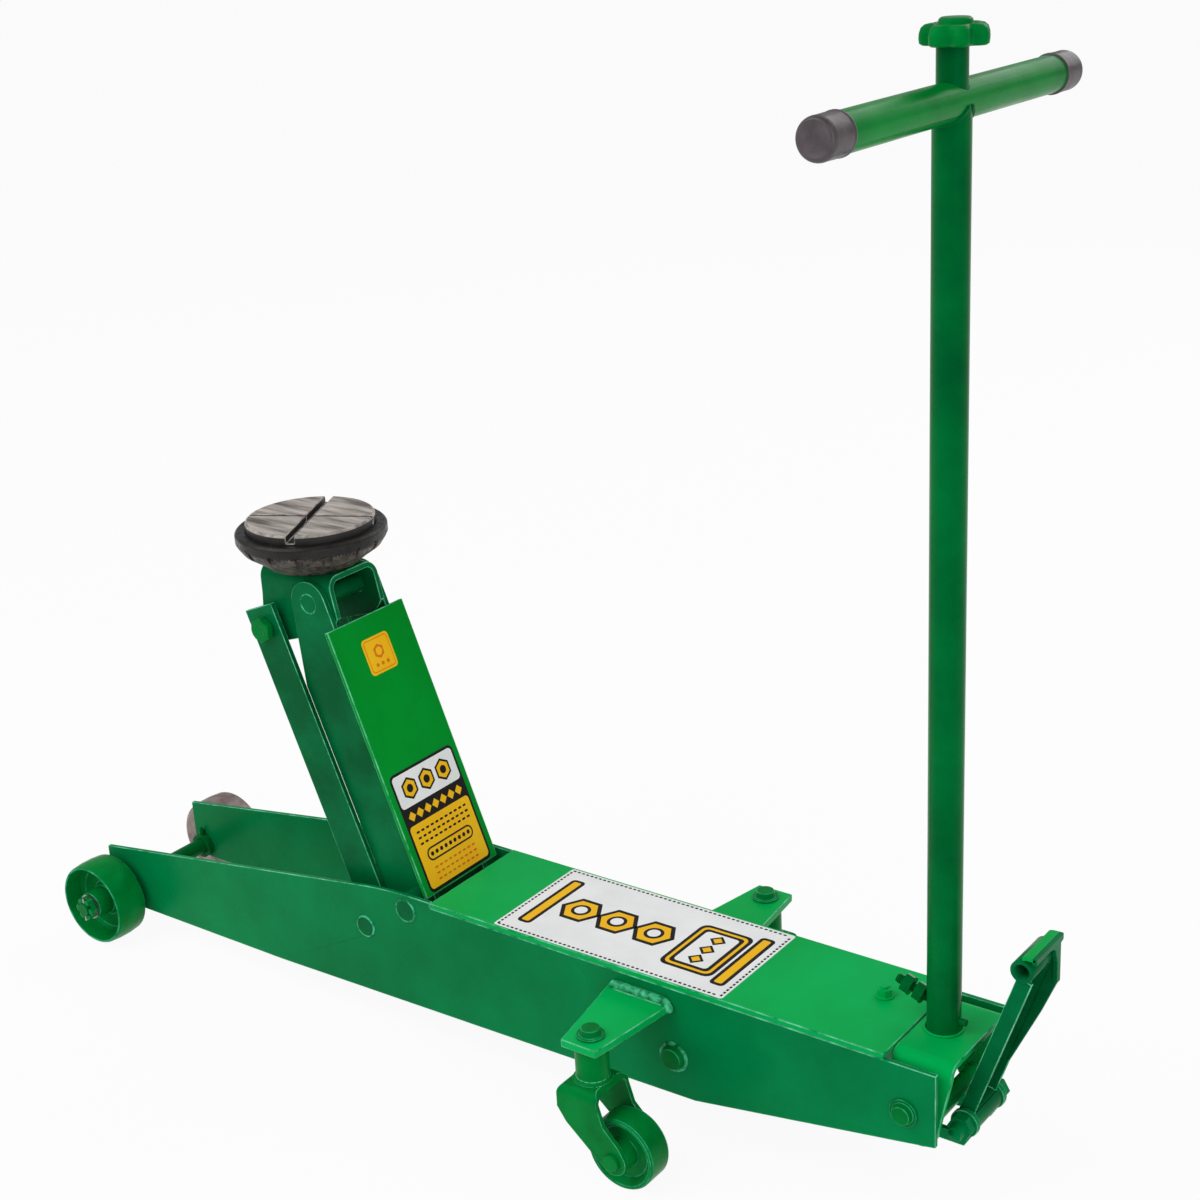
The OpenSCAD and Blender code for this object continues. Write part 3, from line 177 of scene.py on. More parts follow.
# Alkyd enamel, sprayed: a wet-looking skin that pools a little, with faint orange peel
enamelTint = (0.02, 1.0, 0.50, 1.0)
inkShader = {"IOR": 1.46, "Specular IOR Level": 0.2}
enamelShader = {"IOR": 1.42, "Specular IOR Level": 0.12, "Specular Tint": enamelTint}
finishes = {
    "plateEnamel": mottled("alkyd_enamel_sprayed_on_sheet", {
        "dark": "00763E", "light": "008A4C", "blotch": 160, "smudge": 70, "roughness": (0.22, 0.36),
        "grain": 5, "bump": 0.25, "height": 0.12, "shader": enamelShader}),
    # The same enamel painted lighter: painted light from above on the cover, yoke, brackets, stud,
    # tube foot weld and pedal lip
    "enamelPaintedLighter": mottled("alkyd_enamel_painted_lighter_on_lit_tops", {
        "dark": "00A84A", "light": "00BA5C", "blotch": 220, "smudge": 90, "roughness": (0.24, 0.38),
        "grain": 6, "bump": 0.2, "height": 0.10, "shader": enamelShader}),
    # A lighter copy of the same enamel on the arm cover: painted light on its upward face
    "armEnamelPaintedLighter": mottled("alkyd_enamel_on_arm_cover_painted_lighter", {
        "dark": "008A24", "light": "009A30", "blotch": 180, "smudge": 80, "roughness": (0.24, 0.38),
        "grain": 6, "bump": 0.2, "height": 0.10, "shader": enamelShader}),
    # The same enamel painted darker on the lifting gear and pedal: painted shade
    "enamelPaintedDarker": mottled("alkyd_enamel_painted_darker_for_shade", {
        "dark": "005A2E", "light": "007440", "blotch": 70, "smudge": 40, "roughness": (0.24, 0.40),
        "grain": 4, "bump": 0.3, "height": 0.14, "shader": enamelShader}),
    # A darker copy of the same enamel on the handle tube, axle, rods and nuts: painted shade
    "tubeEnamelPaintedDarker": mottled("alkyd_enamel_on_tube_painted_darker", {
        "dark": "005A28", "light": "007434", "blotch": 120, "smudge": 60, "roughness": (0.16, 0.28),
        "grain": 4, "bump": 0.2, "height": 0.10, "shader": enamelShader}),
    # A lighter copy of the same enamel on the cross bar: painted light from above
    "barEnamelPaintedLighter": mottled("alkyd_enamel_on_cross_bar_painted_lighter", {
        "dark": "00722A", "light": "008C34", "blotch": 90, "smudge": 50, "roughness": (0.22, 0.34),
        "grain": 4, "bump": 0.2, "height": 0.10, "shader": enamelShader}),
    # Enamel over a sand casting: the sand's grain still shows through the paint
    "castEnamel": mottled("alkyd_enamel_over_sand_casting", {
        "dark": "00722E", "light": "008A3A", "blotch": 45, "smudge": 30, "roughness": (0.24, 0.40),
        "grain": 2.2, "bump": 0.35, "height": 0.25, "shader": enamelShader}),
    # Painted highlight on sheared and sawn edges: the broken edges get a pale mint enamel colour for
    # their glint
    "edgeHighlightPainted": mottled("alkyd_enamel_painted_edge_highlight", {
        "dark": "0A9258", "light": "78DCB0", "blotch": 16, "smudge": 9, "roughness": (0.3, 0.45),
        "grain": 2, "bump": 0.3, "height": 0.1, "shader": enamelShader}),
    # A softer painted highlight on the broken edges of cast and turned pieces
    "softEdgeHighlightPainted": mottled("alkyd_enamel_painted_soft_edge_highlight", {
        "dark": "007A40", "light": "3CB684", "blotch": 12, "smudge": 8, "roughness": (0.3, 0.45),
        "grain": 2, "bump": 0.3, "height": 0.1, "shader": enamelShader}),
    # The same enamel over a hand-laid weld bead, mottled pale mint: painted highlight on the bead
    "weldEnamelPaintedHighlight": mottled("alkyd_enamel_over_weld_bead_painted_highlight", {
        "dark": "006A38", "light": "58D8A0", "blotch": 7, "smudge": 6, "roughness": (0.2, 0.4),
        "grain": 2.4, "bump": 0.5, "height": 0.4, "shader": enamelShader}),
    # Bare cast iron, machined and handled: grey with a brown bloom
    "bareIron": mottled("grey_cast_iron_machined", {
        "dark": "7D6A66", "light": "A39390", "blotch": 14, "smudge": 8, "roughness": (0.38, 0.6),
        "grain": 0.9, "bump": 0.4, "height": 0.15, "shader": {"Metallic": 0.55}}),
    # Oiled cast iron: nearly black, sand grain and a greasy shine
    "darkIron": mottled("grey_cast_iron_oiled", {
        "dark": "0C0B0A", "light": "24211E", "blotch": 16, "smudge": 10, "roughness": (0.30, 0.52),
        "grain": 2.2, "bump": 0.6, "height": 0.7, "shader": {"Metallic": 0.35}}),
    # The casting's underside, chipped by jacking points: dark with pale brown bruises
    "chippedIron": mottled("grey_cast_iron_chipped", {
        "dark": "0E0C0B", "light": "6A5C56", "blotch": 9, "smudge": 6, "roughness": (0.4, 0.62),
        "grain": 2.0, "bump": 0.8, "height": 0.9, "shader": {"Metallic": 0.2}}),
    # Moulded rubber, scuffed by loads: brown-grey dust drawn out in streaks, dark below
    "padRubber": mottled("moulded_rubber_scuffed", {
        "dark": "5A514B", "light": "C4BBB4", "blotch": 9, "smudge": 14, "roughness": (0.36, 0.58),
        "grain": 1.6, "bump": 0.4, "height": 0.3, "stretch": (0.12, 1.0, 1.0),
        "turn": (0, 0, math.radians(-37)), "shader": {"IOR": 1.52}}),
    # Pale painted highlight on the pad's broken edges
    "padEdgeHighlightPainted": mottled("moulded_rubber_painted_edge_highlight", {
        "dark": "6A625C", "light": "C9C2BA", "blotch": 14, "smudge": 8, "roughness": (0.45, 0.6),
        "grain": 1.2, "bump": 0.3, "height": 0.2, "shader": {"IOR": 1.52}}),
    "grooveRubber": mottled("moulded_rubber_in_grooves", {
        "dark": "100E0D", "light": "1F1B19", "blotch": 12, "smudge": 8, "roughness": (0.45, 0.6),
        "grain": 1.2, "bump": 0.3, "height": 0.2, "shader": {"IOR": 1.52}}),
    # Moulded polyethylene, drawn tight over the bar's ends
    "capPlastic": mottled("moulded_polyethylene", {
        "dark": "3A3236", "light": "554A50", "blotch": 18, "smudge": 9, "roughness": (0.28, 0.45),
        "grain": 3, "bump": 0.3, "height": 0.25, "shader": {"IOR": 1.51}}),
    # Turned mild steel: fine tool lines round the axis
    "turnedSteel": mottled("mild_steel_turned", {
        "dark": "8A8680", "light": "B4B0AA", "blotch": 20, "smudge": 6, "roughness": (0.28, 0.42),
        "grain": 0.8, "bump": 0.2, "height": 0.05, "stretch": (3.0, 1.0, 1.0),
        "shader": {"Metallic": 1.0}}),
    # Ground and chromed steel: bright, with almost no grain
    "chromedSteel": mottled("hard_chrome_plated_steel", {
        "dark": "C4C4C4", "light": "DCDCDC", "blotch": 40, "smudge": 12, "roughness": (0.10, 0.18),
        "grain": 0.6, "bump": 0.05, "height": 0.02, "shader": {"Metallic": 1.0}}),
    # Printed vinyl under a clear film: soft shine, flat inks
    "whiteVinyl": mottled("printed_vinyl_white", {
        "dark": "F0F1F2", "light": "FAFAFB", "blotch": 60, "smudge": 30, "roughness": (0.3, 0.4),
        "grain": 8, "bump": 0.05, "height": 0.05, "shader": inkShader}),
    "blackInk": mottled("screen_ink_black_on_vinyl", {
        "dark": "0B0A0B", "light": "141214", "blotch": 30, "smudge": 20, "roughness": (0.32, 0.42),
        "grain": 3, "bump": 0.05, "height": 0.03, "shader": inkShader}),
    "yellowInk": mottled("screen_ink_yellow_on_vinyl", {
        "dark": "FFBE00", "light": "FFC810", "blotch": 40, "smudge": 20, "roughness": (0.32, 0.42),
        "grain": 3, "bump": 0.05, "height": 0.03, "shader": inkShader}),
    "orangeInk": mottled("screen_ink_orange_on_vinyl", {
        "dark": "E06A00", "light": "EC7A08", "blotch": 40, "smudge": 20, "roughness": (0.32, 0.42),
        "grain": 3, "bump": 0.05, "height": 0.03, "shader": inkShader}),
}
print("materials made:", len(finishes))

# Making pieces

meshing = {
    "same": 0.001,  # mm between points that are one, in the surfaces made here
    "packed": 0.02,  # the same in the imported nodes
    "least": 0.001,  # mm, the smallest radius of a turned row
    "steep": 0.9,  # rise of a unit vector from which X, not Z, serves to find its sides
    "flat": 0.4,  # degrees between faces that join into one
    "steps": 2,  # segments of a broken edge
    "evenness": 60,  # weight of large faces in the shading
}


# Links a piece, shades it smooth if asked, makes it ride on its body and hides the nodes it replaces.
def finishPiece(obj, body, replaced=(), smooth=True):
    bpy.context.scene.collection.objects.link(obj)
    if smooth:
        obj.data.polygons.foreach_set("use_smooth", np.ones(len(obj.data.polygons), bool))
    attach(obj, body)
    if replaced:
        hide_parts(*replaced)
    return obj


# Turns every face outwards, after merging doubled points if that is asked.
def tidyNormals(mesh, merged=True):
    work = bmesh.new()
    work.from_mesh(mesh)
    if merged:
        bmesh.ops.remove_doubles(work, verts=work.verts, dist=meshing["same"] * mm)
    bmesh.ops.recalc_face_normals(work, faces=work.faces)
    work.to_mesh(mesh)
    work.free()


# A mesh from points[i, j]: i runs along, j round; each row closes on itself and the ends get caps.
def gridSurface(name, points, finish, caps=True):
    rows, cols = points.shape[:2]
    i = np.arange(rows - 1)[:, None]
    j = np.arange(cols)[None, :]
    k = (j + 1) % cols
    quads = np.stack(np.broadcast_arrays(
        i * cols + j, i * cols + k, (i + 1) * cols + k, (i + 1) * cols + j), -1)
    faces = quads.reshape(-1, 4).tolist()
    if caps:
        faces += [list(range(cols))[::-1], list(range((rows - 1) * cols, rows * cols))]
    mesh = bpy.data.meshes.new(name)
    mesh.from_pydata(points.reshape(-1, 3).tolist(), [], faces)
    tidyNormals(mesh)
    mesh.materials.append(finishes[finish])
    return bpy.data.objects.new(name, mesh)


# Two unit vectors across a direction, and the direction itself.
def axesAlong(direction):
    ahead = np.array(direction, float) / np.linalg.norm(direction)
    side = np.cross(ahead, (0, 0, 1.0) if abs(ahead[2]) < meshing["steep"] else (1.0, 0, 0))
    side /= np.linalg.norm(side)
    return side, np.cross(ahead, side), ahead


# Angles of points spread evenly round a full turn.
def fullTurn(steps):
    return np.linspace(0, 2 * math.pi, steps, endpoint=False)


# Rows of points round a line: base + r cos(turn) side + r sin(turn) up + distance ahead.
def turned(base, direction, radius, along, turn):
    side, up, ahead = axesAlong(direction)
    return (np.array(base) + (radius * np.cos(turn))[..., None] * side
            + (radius * np.sin(turn))[..., None] * up + (along + 0 * turn)[..., None] * ahead)


# A copy of a CAD node with merged points, flat faces joined and its edges broken by a small round.
# inner names a second finish and tests which faces take it; edge is the broken edges' finish.
def dress(name, finish, rounding, sharp=32, inner=None, edge=None):
    work = bmesh.new()
    work.from_mesh(frame["nodes"][name].data)
    bmesh.ops.remove_doubles(work, verts=work.verts, dist=meshing["packed"] * mm)
    bmesh.ops.dissolve_limit(work, angle_limit=math.radians(meshing["flat"]),
                             verts=work.verts, edges=work.edges)
    mesh = bpy.data.meshes.new(name + "_painted")
    work.to_mesh(mesh)
    work.free()
    mesh.materials.clear()
    mesh.materials.append(finishes[finish])
    piece = bpy.data.objects.new(name + "_painted", mesh)
    finishPiece(piece, bodyOf[name], [name])
    if inner:
        mesh.materials.append(finishes[inner["finish"]])
        for face in mesh.polygons:
            face.material_index = int(inner["test"](face.center))
    if rounding:
        broken = piece.modifiers.new("broken_edges", "BEVEL")
        broken.width, broken.segments = rounding * mm, meshing["steps"]
        broken.limit_method, broken.angle_limit = "ANGLE", math.radians(sharp)
        broken.use_clamp_overlap, broken.harden_normals = False, False
        broken.miter_outer = "MITER_ARC"
        if edge:
            mesh.materials.append(finishes[edge])
            broken.material = len(mesh.materials) - 1
    level = piece.modifiers.new("even_shading", "WEIGHTED_NORMAL")
    level.keep_sharp, level.weight = True, meshing["evenness"]
    return piece


# Sheet, bar and cast nodes that keep their shape and get broken edges and paint

dressed = [  # finish, rounding in mm, smallest broken angle in degrees, the edges' finish, nodes
    ("plateEnamel", 0.8, 32, "edgeHighlightPainted", [
        "side_plate_left", "side_plate_right", "rear_cross_plate", "pump_block"]),
    ("enamelPaintedDarker", 0.8, 32, "edgeHighlightPainted", [
        "link_left", "link_right", "arm_cheek_left", "arm_cheek_right", "saddle_head",
        "pedal_arm"]),
    ("enamelPaintedDarker", 0.8, 32, None, ["link_bolts", "link_pins", "arm_pivot_shaft", "head_pin"]),
    ("enamelPaintedLighter", 0.9, 32, "edgeHighlightPainted", [
        "top_cover", "handle_yoke", "caster_bracket_left", "caster_bracket_right"]),
    ("armEnamelPaintedLighter", 0.9, 32, "edgeHighlightPainted", ["arm_cover"]),
    ("tubeEnamelPaintedDarker", 0.4, 32, None, [
        "handle_tube", "front_axle", "release_rod", "reservoir", "lock_nuts", "axle_collars"]),
    ("barEnamelPaintedLighter", 0.4, 32, None, ["handle_bar"]),
    ("castEnamel", 0.6, 32, None, ["caster_axle_left", "caster_axle_right"]),
    ("castEnamel", 0.6, 32, "softEdgeHighlightPainted", [
        "caster_wheel_left", "caster_wheel_right", "king_bolts", "unit_bolts", "yoke_bolts",
        "axle_nuts"]),
    ("castEnamel", 0.4, 45, "edgeHighlightPainted", ["caster_fork_left", "caster_fork_right"]),
]
for finish, rounding, sharp, edge, names in dressed:
    for name in names:
        dress(name, finish, rounding, sharp, edge=edge)

frontWheel = {"bareWidth": 2.6, "tread": 44.0, "rounding": 0.9}
wheelMiddle = middle("front_wheel_right")
wheelInner = abs(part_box("front_wheel_right")[0].y)


# The strip next to the chassis; on the right wheel the whole tread has lost its paint.
def bareFace(centre):
    fromAxle = math.hypot(centre.x - wheelMiddle.x, centre.z - wheelMiddle.z)
    strip = abs(centre.y) < wheelInner + frontWheel["bareWidth"] * mm
    return strip or (centre.y > 0 and fromAxle > frontWheel["tread"] * mm)


for name in ("front_wheel_left", "front_wheel_right"):
    dress(name, "castEnamel", frontWheel["rounding"],
          inner={"finish": "bareIron", "test": bareFace}, edge="softEdgeHighlightPainted")

plain = {
    "turnedSteel": ["axle_washers", "split_pins", "yoke_washers", "crank_pin", "crank_roller",
                    "cylinder", "gland_nut", "pump_barrel"],
    "chromedSteel": ["ram", "pump_plunger", "release_push_rod"],
    "darkIron": ["ram_head"],
    "capPlastic": ["filler_plug"],
}
for finish, names in plain.items():
    for name in names:
        data = frame["nodes"][name].data
        data.materials.clear()
        data.materials.append(finishes[finish])

# The return spring squeezes against the cross plate by as much as the plunger travels; here it gets a
# plain turned-steel copy with a mesh of its own
spring = dress("plunger_spring", "turnedSteel", 0)
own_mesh(spring)
print("CAD nodes dressed")

# Saddle: oiled casting, chipped below its rim, and a rubber pad that is dark below its top

pad = {"top": 1.2, "cupRim": 13.0, "rounding": 1.0}
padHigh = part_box("saddle_pad")[1]
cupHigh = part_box("saddle_cup")[1]
dress("saddle_cup", "darkIron", pad["rounding"], inner={
    "finish": "chippedIron", "test": lambda centre: centre.z < cupHigh.z - pad["cupRim"] * mm})
dress("saddle_pad", "padRubber", pad["rounding"], inner={
    "finish": "grooveRubber", "test": lambda centre: centre.z < padHigh.z - pad["top"] * mm},
    edge="padEdgeHighlightPainted")

# Foot plate of the pedal: a narrow lip over a short tube, with one upright strip at its far end

foot = {
    "plate": 4.5, "brow": 6.5,  # thickness of the upright and height of its top band
    "sagWide": 12.0, "sagDeep": 6.0, "sagSteps": 9,  # the curve below the band
    "strip": 12.5, "stripFrom": 18.0, "stripTo": 46.0,  # the upright strip's width and reach down
    "stepWide": 5.0, "stepFrom": 8.0,  # a step in the strip's far side
    "lip": [(-14.0, -5.2), (-14.0, -1.2), (-10.0, -0.2), (-5.0, 0.0), (-0.4, -0.6), (-0.4, -4.0),
            (-10.0, -4.0)],  # outline from the top rear edge, rearwards and up
    "roll": 22.0, "bore": 15.0, "rollAhead": 15.2, "rollBelow": 18.0, "rollShort": 2.2,
    "rollRound": 0.6, "rollFrom": 0.97, "rollSteps": 48,
    "round": 0.9, "roundSteps": 3, "sharp": 40,
}
farWall = {  # the channel's far wall, deepened towards the foot
    "lean": 19.4,  # degrees from upright
    "rear": [(50, 4.05), (115, 12.45), (150, 14.95)],  # along the channel, and rearwards of it
    "front": [(168, 1.4), (50, 1.4)],
    "top": [(-0.8, -42.0), (-0.8, -2.0), (-11.0, -2.0)],  # from the foot's top rear edge
    "sides": (18.9, 23.2),
}


# An outline in mm carried between two ends along X (axis 0) or Y (axis 1), its edges broken.
def slab(name, outline, axis, ends, finish, node, replaced=()):
    points = np.stack([np.insert(np.array(outline, float), axis, end, axis=1) for end in ends])
    made = gridSurface(name, points * mm, finish)
    broken = made.modifiers.new("broken_edges", "BEVEL")
    broken.width, broken.segments = foot["round"] * mm, foot["roundSteps"]
    broken.limit_method, broken.angle_limit = "ANGLE", math.radians(foot["sharp"])
    finishPiece(made, bodyOf[node], replaced, smooth=False)


rear, wide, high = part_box("pedal_pad")[1] / mm
band, inner, step = -foot["brow"], wide - foot["strip"], wide - foot["stepWide"]
upright = [(-wide, 0), (-wide, band), (0, band)]
upright += [(foot["sagWide"] * math.sin(a), band - foot["sagDeep"] * (1 - math.cos(a)))
            for a in np.linspace(0, math.pi / 2, foot["sagSteps"])[1:]]
upright += [(inner, band - foot["stripFrom"]), (inner, -foot["stripTo"]),
            (step, -foot["stripTo"]), (step, -foot["stepFrom"]), (wide, band), (wide, 0)]

hinge, lean = middle("pedal_bolt") / mm, math.radians(farWall["lean"])
wallRear, wallFront = (
    [(hinge.x + s * math.sin(lean) + d * math.cos(lean), hinge.z + s * math.cos(lean))
     for s, d in farWall[edge]] for edge in ("rear", "front"))
wallTop, lip = ([(rear + x, high + z) for x, z in points]
                for points in (farWall["top"], foot["lip"]))

outer, bore, turn = foot["roll"] / 2, foot["bore"] / 2, fullTurn(foot["rollSteps"])
ring = [(bore, -1), (outer - foot["rollRound"], -1), (outer, -foot["rollFrom"]),
        (outer, foot["rollFrom"]), (outer - foot["rollRound"], 1), (bore, 1), (bore, -1)]
roll = np.stack([np.stack([rear - foot["rollAhead"] + r * np.cos(turn),
                           np.full(len(turn), y * (wide - foot["rollShort"])),
                           high - foot["rollBelow"] + r * np.sin(turn)], 1) for r, y in ring])

slab("pedal_far_wall", wallRear + wallTop + wallFront, 1, farWall["sides"], "enamelPaintedDarker",
     "pedal_arm")
slab("foot_plate", [(y, high + z) for y, z in upright], 0, (rear - foot["plate"], rear),
     "enamelPaintedDarker", "pedal_pad", ["pedal_pad"])
# The lip's top takes the lighter enamel: painted light from above
slab("foot_lip", lip, 1, (-wide, wide), "enamelPaintedLighter", "pedal_pad", ["pedal_pad"])
finishPiece(gridSurface("foot_roll", roll * mm, "enamelPaintedDarker", caps=False),
            bodyOf["pedal_pad"], ["pedal_pad"])

# Release knob: a star of round lobes, domed on top, dished below

knob = {
    "reach": 28.5, "height": 17.0, "lobes": 7, "valley": 0.24, "fadeFrom": 0.5, "fadeOver": 0.35,
    "rows": 90, "steps": 140,
    "profile": [  # shares of the reach and of the height
        (0, 0.18), (0.48, 0.18), (0.74, 0.10), (0.90, 0.02), (0.98, 0.10), (1.0, 0.30),
        (0.99, 0.55), (0.94, 0.80), (0.84, 0.94), (0.70, 0.99), (0.60, 0.93), (0.52, 0.90),
        (0.49, 0.98), (0.46, 1.16), (0.40, 1.24), (0, 1.25)],
}


# Radius = reach x profile x (1 - valley x |sine of half the lobe's turn| cubed), fading to the hub.
def starKnob(sizes):
    base, lowest = middle("release_rod"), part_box("release_knob")[0].z
    profile = np.array(sizes["profile"])
    at = np.linspace(0, 1, len(profile))
    fine = np.linspace(0, 1, sizes["rows"])
    share, rise = (np.interp(fine, at, profile[:, k])[:, None] for k in (0, 1))
    turn = fullTurn(sizes["steps"])[None, :]
    wave = np.abs(np.sin(sizes["lobes"] * turn / 2)) ** 3  # 0 on a lobe, 1 in a valley
    fade = np.clip((share - sizes["fadeFrom"]) / sizes["fadeOver"], 0, 1)
    r = np.maximum(share * sizes["reach"], meshing["least"]) * mm
    r = r * (1 - sizes["valley"] * wave * fade)
    along = rise * sizes["height"] * mm + 0 * turn
    points = np.stack([base.x + r * np.cos(turn), r * np.sin(turn), lowest + along], -1)
    return gridSurface("star_knob", points, "castEnamel")


finishPiece(starKnob(knob), bodyOf["release_knob"], ["release_knob"])

# End caps of the cross bar: a mouth bead, a shrunk skirt and a rounded end

caps = {
    "length": 32.0, "lip": 0.6, "steps": 72,
    "bead": [(2.4, 0), (0.4, 0.1), (0, 1), (0, 3.5), (1, 5)],  # inwards and along, in lips
    "ripple": 0.3, "waves": 40, "skirtRows": 14, "skirtFrom": 0.05, "skirtTo": 6,
    "endRound": 5.0, "endDepth": 0.6, "endRows": 8,
    "dish": [(0.72, 0.2), (0.66, 1.2), (0, 1.2)],  # share of the radius, and inwards in lips
}


# A turned cap on one end of the bar, its skirt gently rippled along its length.
def endCap(name, side, sizes):
    low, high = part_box("bar_caps")
    centre = middle("handle_bar")
    outer = (high.x - low.x) / 2
    length, lip, end = (sizes[k] * mm for k in ("length", "lip", "endRound"))
    skirt, start = outer - lip, sizes["bead"][-1][1] * lip
    profile = [(outer - r * lip, s * lip) for r, s in sizes["bead"]]
    profile += [(skirt + sizes["ripple"] * lip * math.sin(sizes["waves"] * t),
                 start + t * (length - end - sizes["skirtTo"] * lip))
                for t in np.linspace(sizes["skirtFrom"], 1, sizes["skirtRows"])]
    profile += [(skirt - end * sizes["endDepth"] * (1 - math.cos(b)),
                 length - end * (1 - math.sin(b)))
                for b in np.linspace(0, math.pi / 2, sizes["endRows"])]
    profile += [(outer * r, length - s * lip) for r, s in sizes["dish"]]
    radius, along = np.array(profile).T[..., None]
    points = turned((centre.x, side * (high.y - length), centre.z), (0, side, 0),
                    np.maximum(radius, meshing["least"] * mm), along, fullTurn(sizes["steps"]))
    return gridSurface(name, points, "capPlastic")


for side, tag in ((-1, "left"), (1, "right")):
    finishPiece(endCap("end_cap_" + tag, side, caps), bodyOf["bar_caps"],
                ["bar_caps"])
print("saddle, knob and caps made")

# Screw threads that show

threads = {
    "rows": 7, "steps": 28,  # rows to a pitch, points to a row
    "depth": 0.55, "flank": 1.3, "chamfer": 0.14,  # in pitches, a power, share of the radius
    "headRounding": 0.5,
    "lock": {"across": 10.0, "long": 34.0, "rise": 20.0, "pitch": 2.0},  # rise in degrees
    "pedal": {"across": 14.7, "long": 12.2, "inset": 12.0, "pitch": 2.4},
}


# Radius less a saw-tooth of distance / pitch - angle / full turn, 0.55 of a pitch deep.
def threadedRod(name, base, direction, sizes, finish):
    length, pitch = sizes["long"] * mm, sizes["pitch"] * mm
    along = np.linspace(0, length, int(length / pitch * threads["rows"]))[:, None]
    turn = fullTurn(threads["steps"])[None, :]
    phase = (along / pitch - turn / (2 * math.pi)) % 1
    tooth = np.abs(2 * phase - 1) ** threads["flank"]
    chamfer = threads["chamfer"] * (1 - np.clip((length - along) / pitch, 0, 1))
    r = (sizes["across"] / 2 * mm - threads["depth"] * pitch * tooth) * (1 - chamfer)
    return gridSurface(name, turned(base, direction, r, along, turn), finish)


lock = threads["lock"]
lockLow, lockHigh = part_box("lock_bolt")
lockRise = math.radians(lock["rise"])
lockDirection = np.array((-math.cos(lockRise), 0, math.sin(lockRise)))
lockStart = np.array((lockHigh.x - lock["across"] / 2 * mm * math.sin(lockRise), 0,
                      lockLow.z + lock["across"] / 2 * mm * math.cos(lockRise)))
finishPiece(threadedRod("lock_bolt_thread", lockStart, lockDirection, lock, "tubeEnamelPaintedDarker"),
            bodyOf["lock_bolt"], ["lock_bolt"])
dress("pedal_bolt", "plateEnamel", threads["headRounding"])
dress("cover_stud", "enamelPaintedLighter", threads["headRounding"])
pedalMiddle = middle("pedal_bolt")
pedalStart = (pedalMiddle.x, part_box("pedal_bolt")[0].y + threads["pedal"]["inset"] * mm,
              pedalMiddle.z)
finishPiece(threadedRod("pedal_bolt_thread", pedalStart, (0, -1, 0), threads["pedal"],
                        "plateEnamel"),
            bodyOf["pedal_bolt"])

# Hexagon heads over the links' upper bolt

linkHead = {
    "across": 25.0, "sunk": 0.2, "steps": 72,
    # mm along the bolt, and a cone's radius there as a share of half the width across flats
    "rows": [(0, 2.0), (5.1, 2.0), (6.5, 0.98), (6.5, 0.93), (6.5, 0.5), (6.1, 0.42), (6.1, 0)],
}


# Radius of a hexagon, across / 2 / cos(angle to the nearest flat), cut back by a cone at the top.
def hexHead(name, base, direction, sizes):
    half = sizes["across"] / 2 * mm
    angle = fullTurn(sizes["steps"])[None, :]
    flat = half / np.cos((angle + math.pi / 6) % (math.pi / 3) - math.pi / 6)
    along, cone = np.array(sizes["rows"]).T[..., None]
    radius = np.minimum(flat, np.maximum(cone * half, meshing["least"] * mm))
    return gridSurface(name, turned(base, direction, radius, along * mm, angle), "castEnamel")


for side, tag in ((-1, "left"), (1, "right")):
    bolt = middle("link_bolts")
    end = side * (abs(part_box("link_bolts")[0].y) - linkHead["sunk"] * mm)
    finishPiece(hexHead("link_bolt_head_" + tag, (bolt.x, end, bolt.z), (0, side, 0), linkHead),
                bodyOf["link_bolts"], smooth=False)

# Weld beads

beadShape = {  # in radii of the bead
    "spacing": 0.28, "ripple": 1.1, "base": 0.92, "swell": 0.16, "drift": 0.05, "smoothed": 5,
    "taper": 0.8, "tip": 0.25, "lean": 0.25, "steps": 14, "fewestRows": 12,
    "helper": (0.31, 0.17, 0.93),  # a direction that no bead follows
}


# A tube along a path, of radius x (0.92 + 0.16 saw(distance / ripple) + a smoothed random drift).
def bead(name, path, radius, body, finish, seed, closed=False):
    shape, path, radius = beadShape, np.array(path, float), radius * mm
    step = np.linalg.norm(np.diff(path, axis=0), axis=1)
    distance = np.concatenate([[0], np.cumsum(step)])
    count = max(shape["fewestRows"], int(distance[-1] / (shape["spacing"] * radius)))
    at = np.linspace(0, distance[-1], count, endpoint=not closed)
    points = np.stack([np.interp(at, distance, path[:, k]) for k in range(3)], 1)
    ahead = np.gradient(points, axis=0)
    ahead /= np.linalg.norm(ahead, axis=1)[:, None]
    side = np.cross(ahead, shape["helper"])
    side /= np.linalg.norm(side, axis=1)[:, None]
    up = np.cross(side, ahead)
    drift = np.random.default_rng(seed).normal(0, shape["drift"], count)
    drift = np.convolve(drift, np.ones(shape["smoothed"]) / shape["smoothed"], "same")
    ripple = (at / (shape["ripple"] * radius)) % 1
    size = radius * (shape["base"] + shape["swell"] * ripple + drift)
    if not closed:
        toEnd = np.minimum(at, distance[-1] - at) / (shape["taper"] * radius)
        size = size * np.clip(toEnd + shape["tip"], shape["tip"], 1)
    turn = fullTurn(shape["steps"])
    ring = size[:, None, None] * (np.cos(turn)[None, :, None] * side[:, None, :]
                                  + np.sin(turn)[None, :, None] * up[:, None, :])
    lean = (shape["lean"] * radius * (np.abs(np.sin(turn)) - 0.5))[None, :, None]
    rows = points[:, None, :] + ring + lean * ahead[:, None, :]
    if closed:
        rows = np.concatenate([rows, rows[:1]])
    finishPiece(gridSurface(name, rows, finish, caps=not closed), body)


# Points of a circle, or a part of one, round a line through centre; its radius is in mm.
def circle(centre, radius, direction, start=0.0, end=2 * math.pi, steps=60):
    side, up, _ = axesAlong(direction)
    turn = np.linspace(start, end, steps)[:, None]
    return np.array(centre) + radius * mm * (np.cos(turn) * side + np.sin(turn) * up)


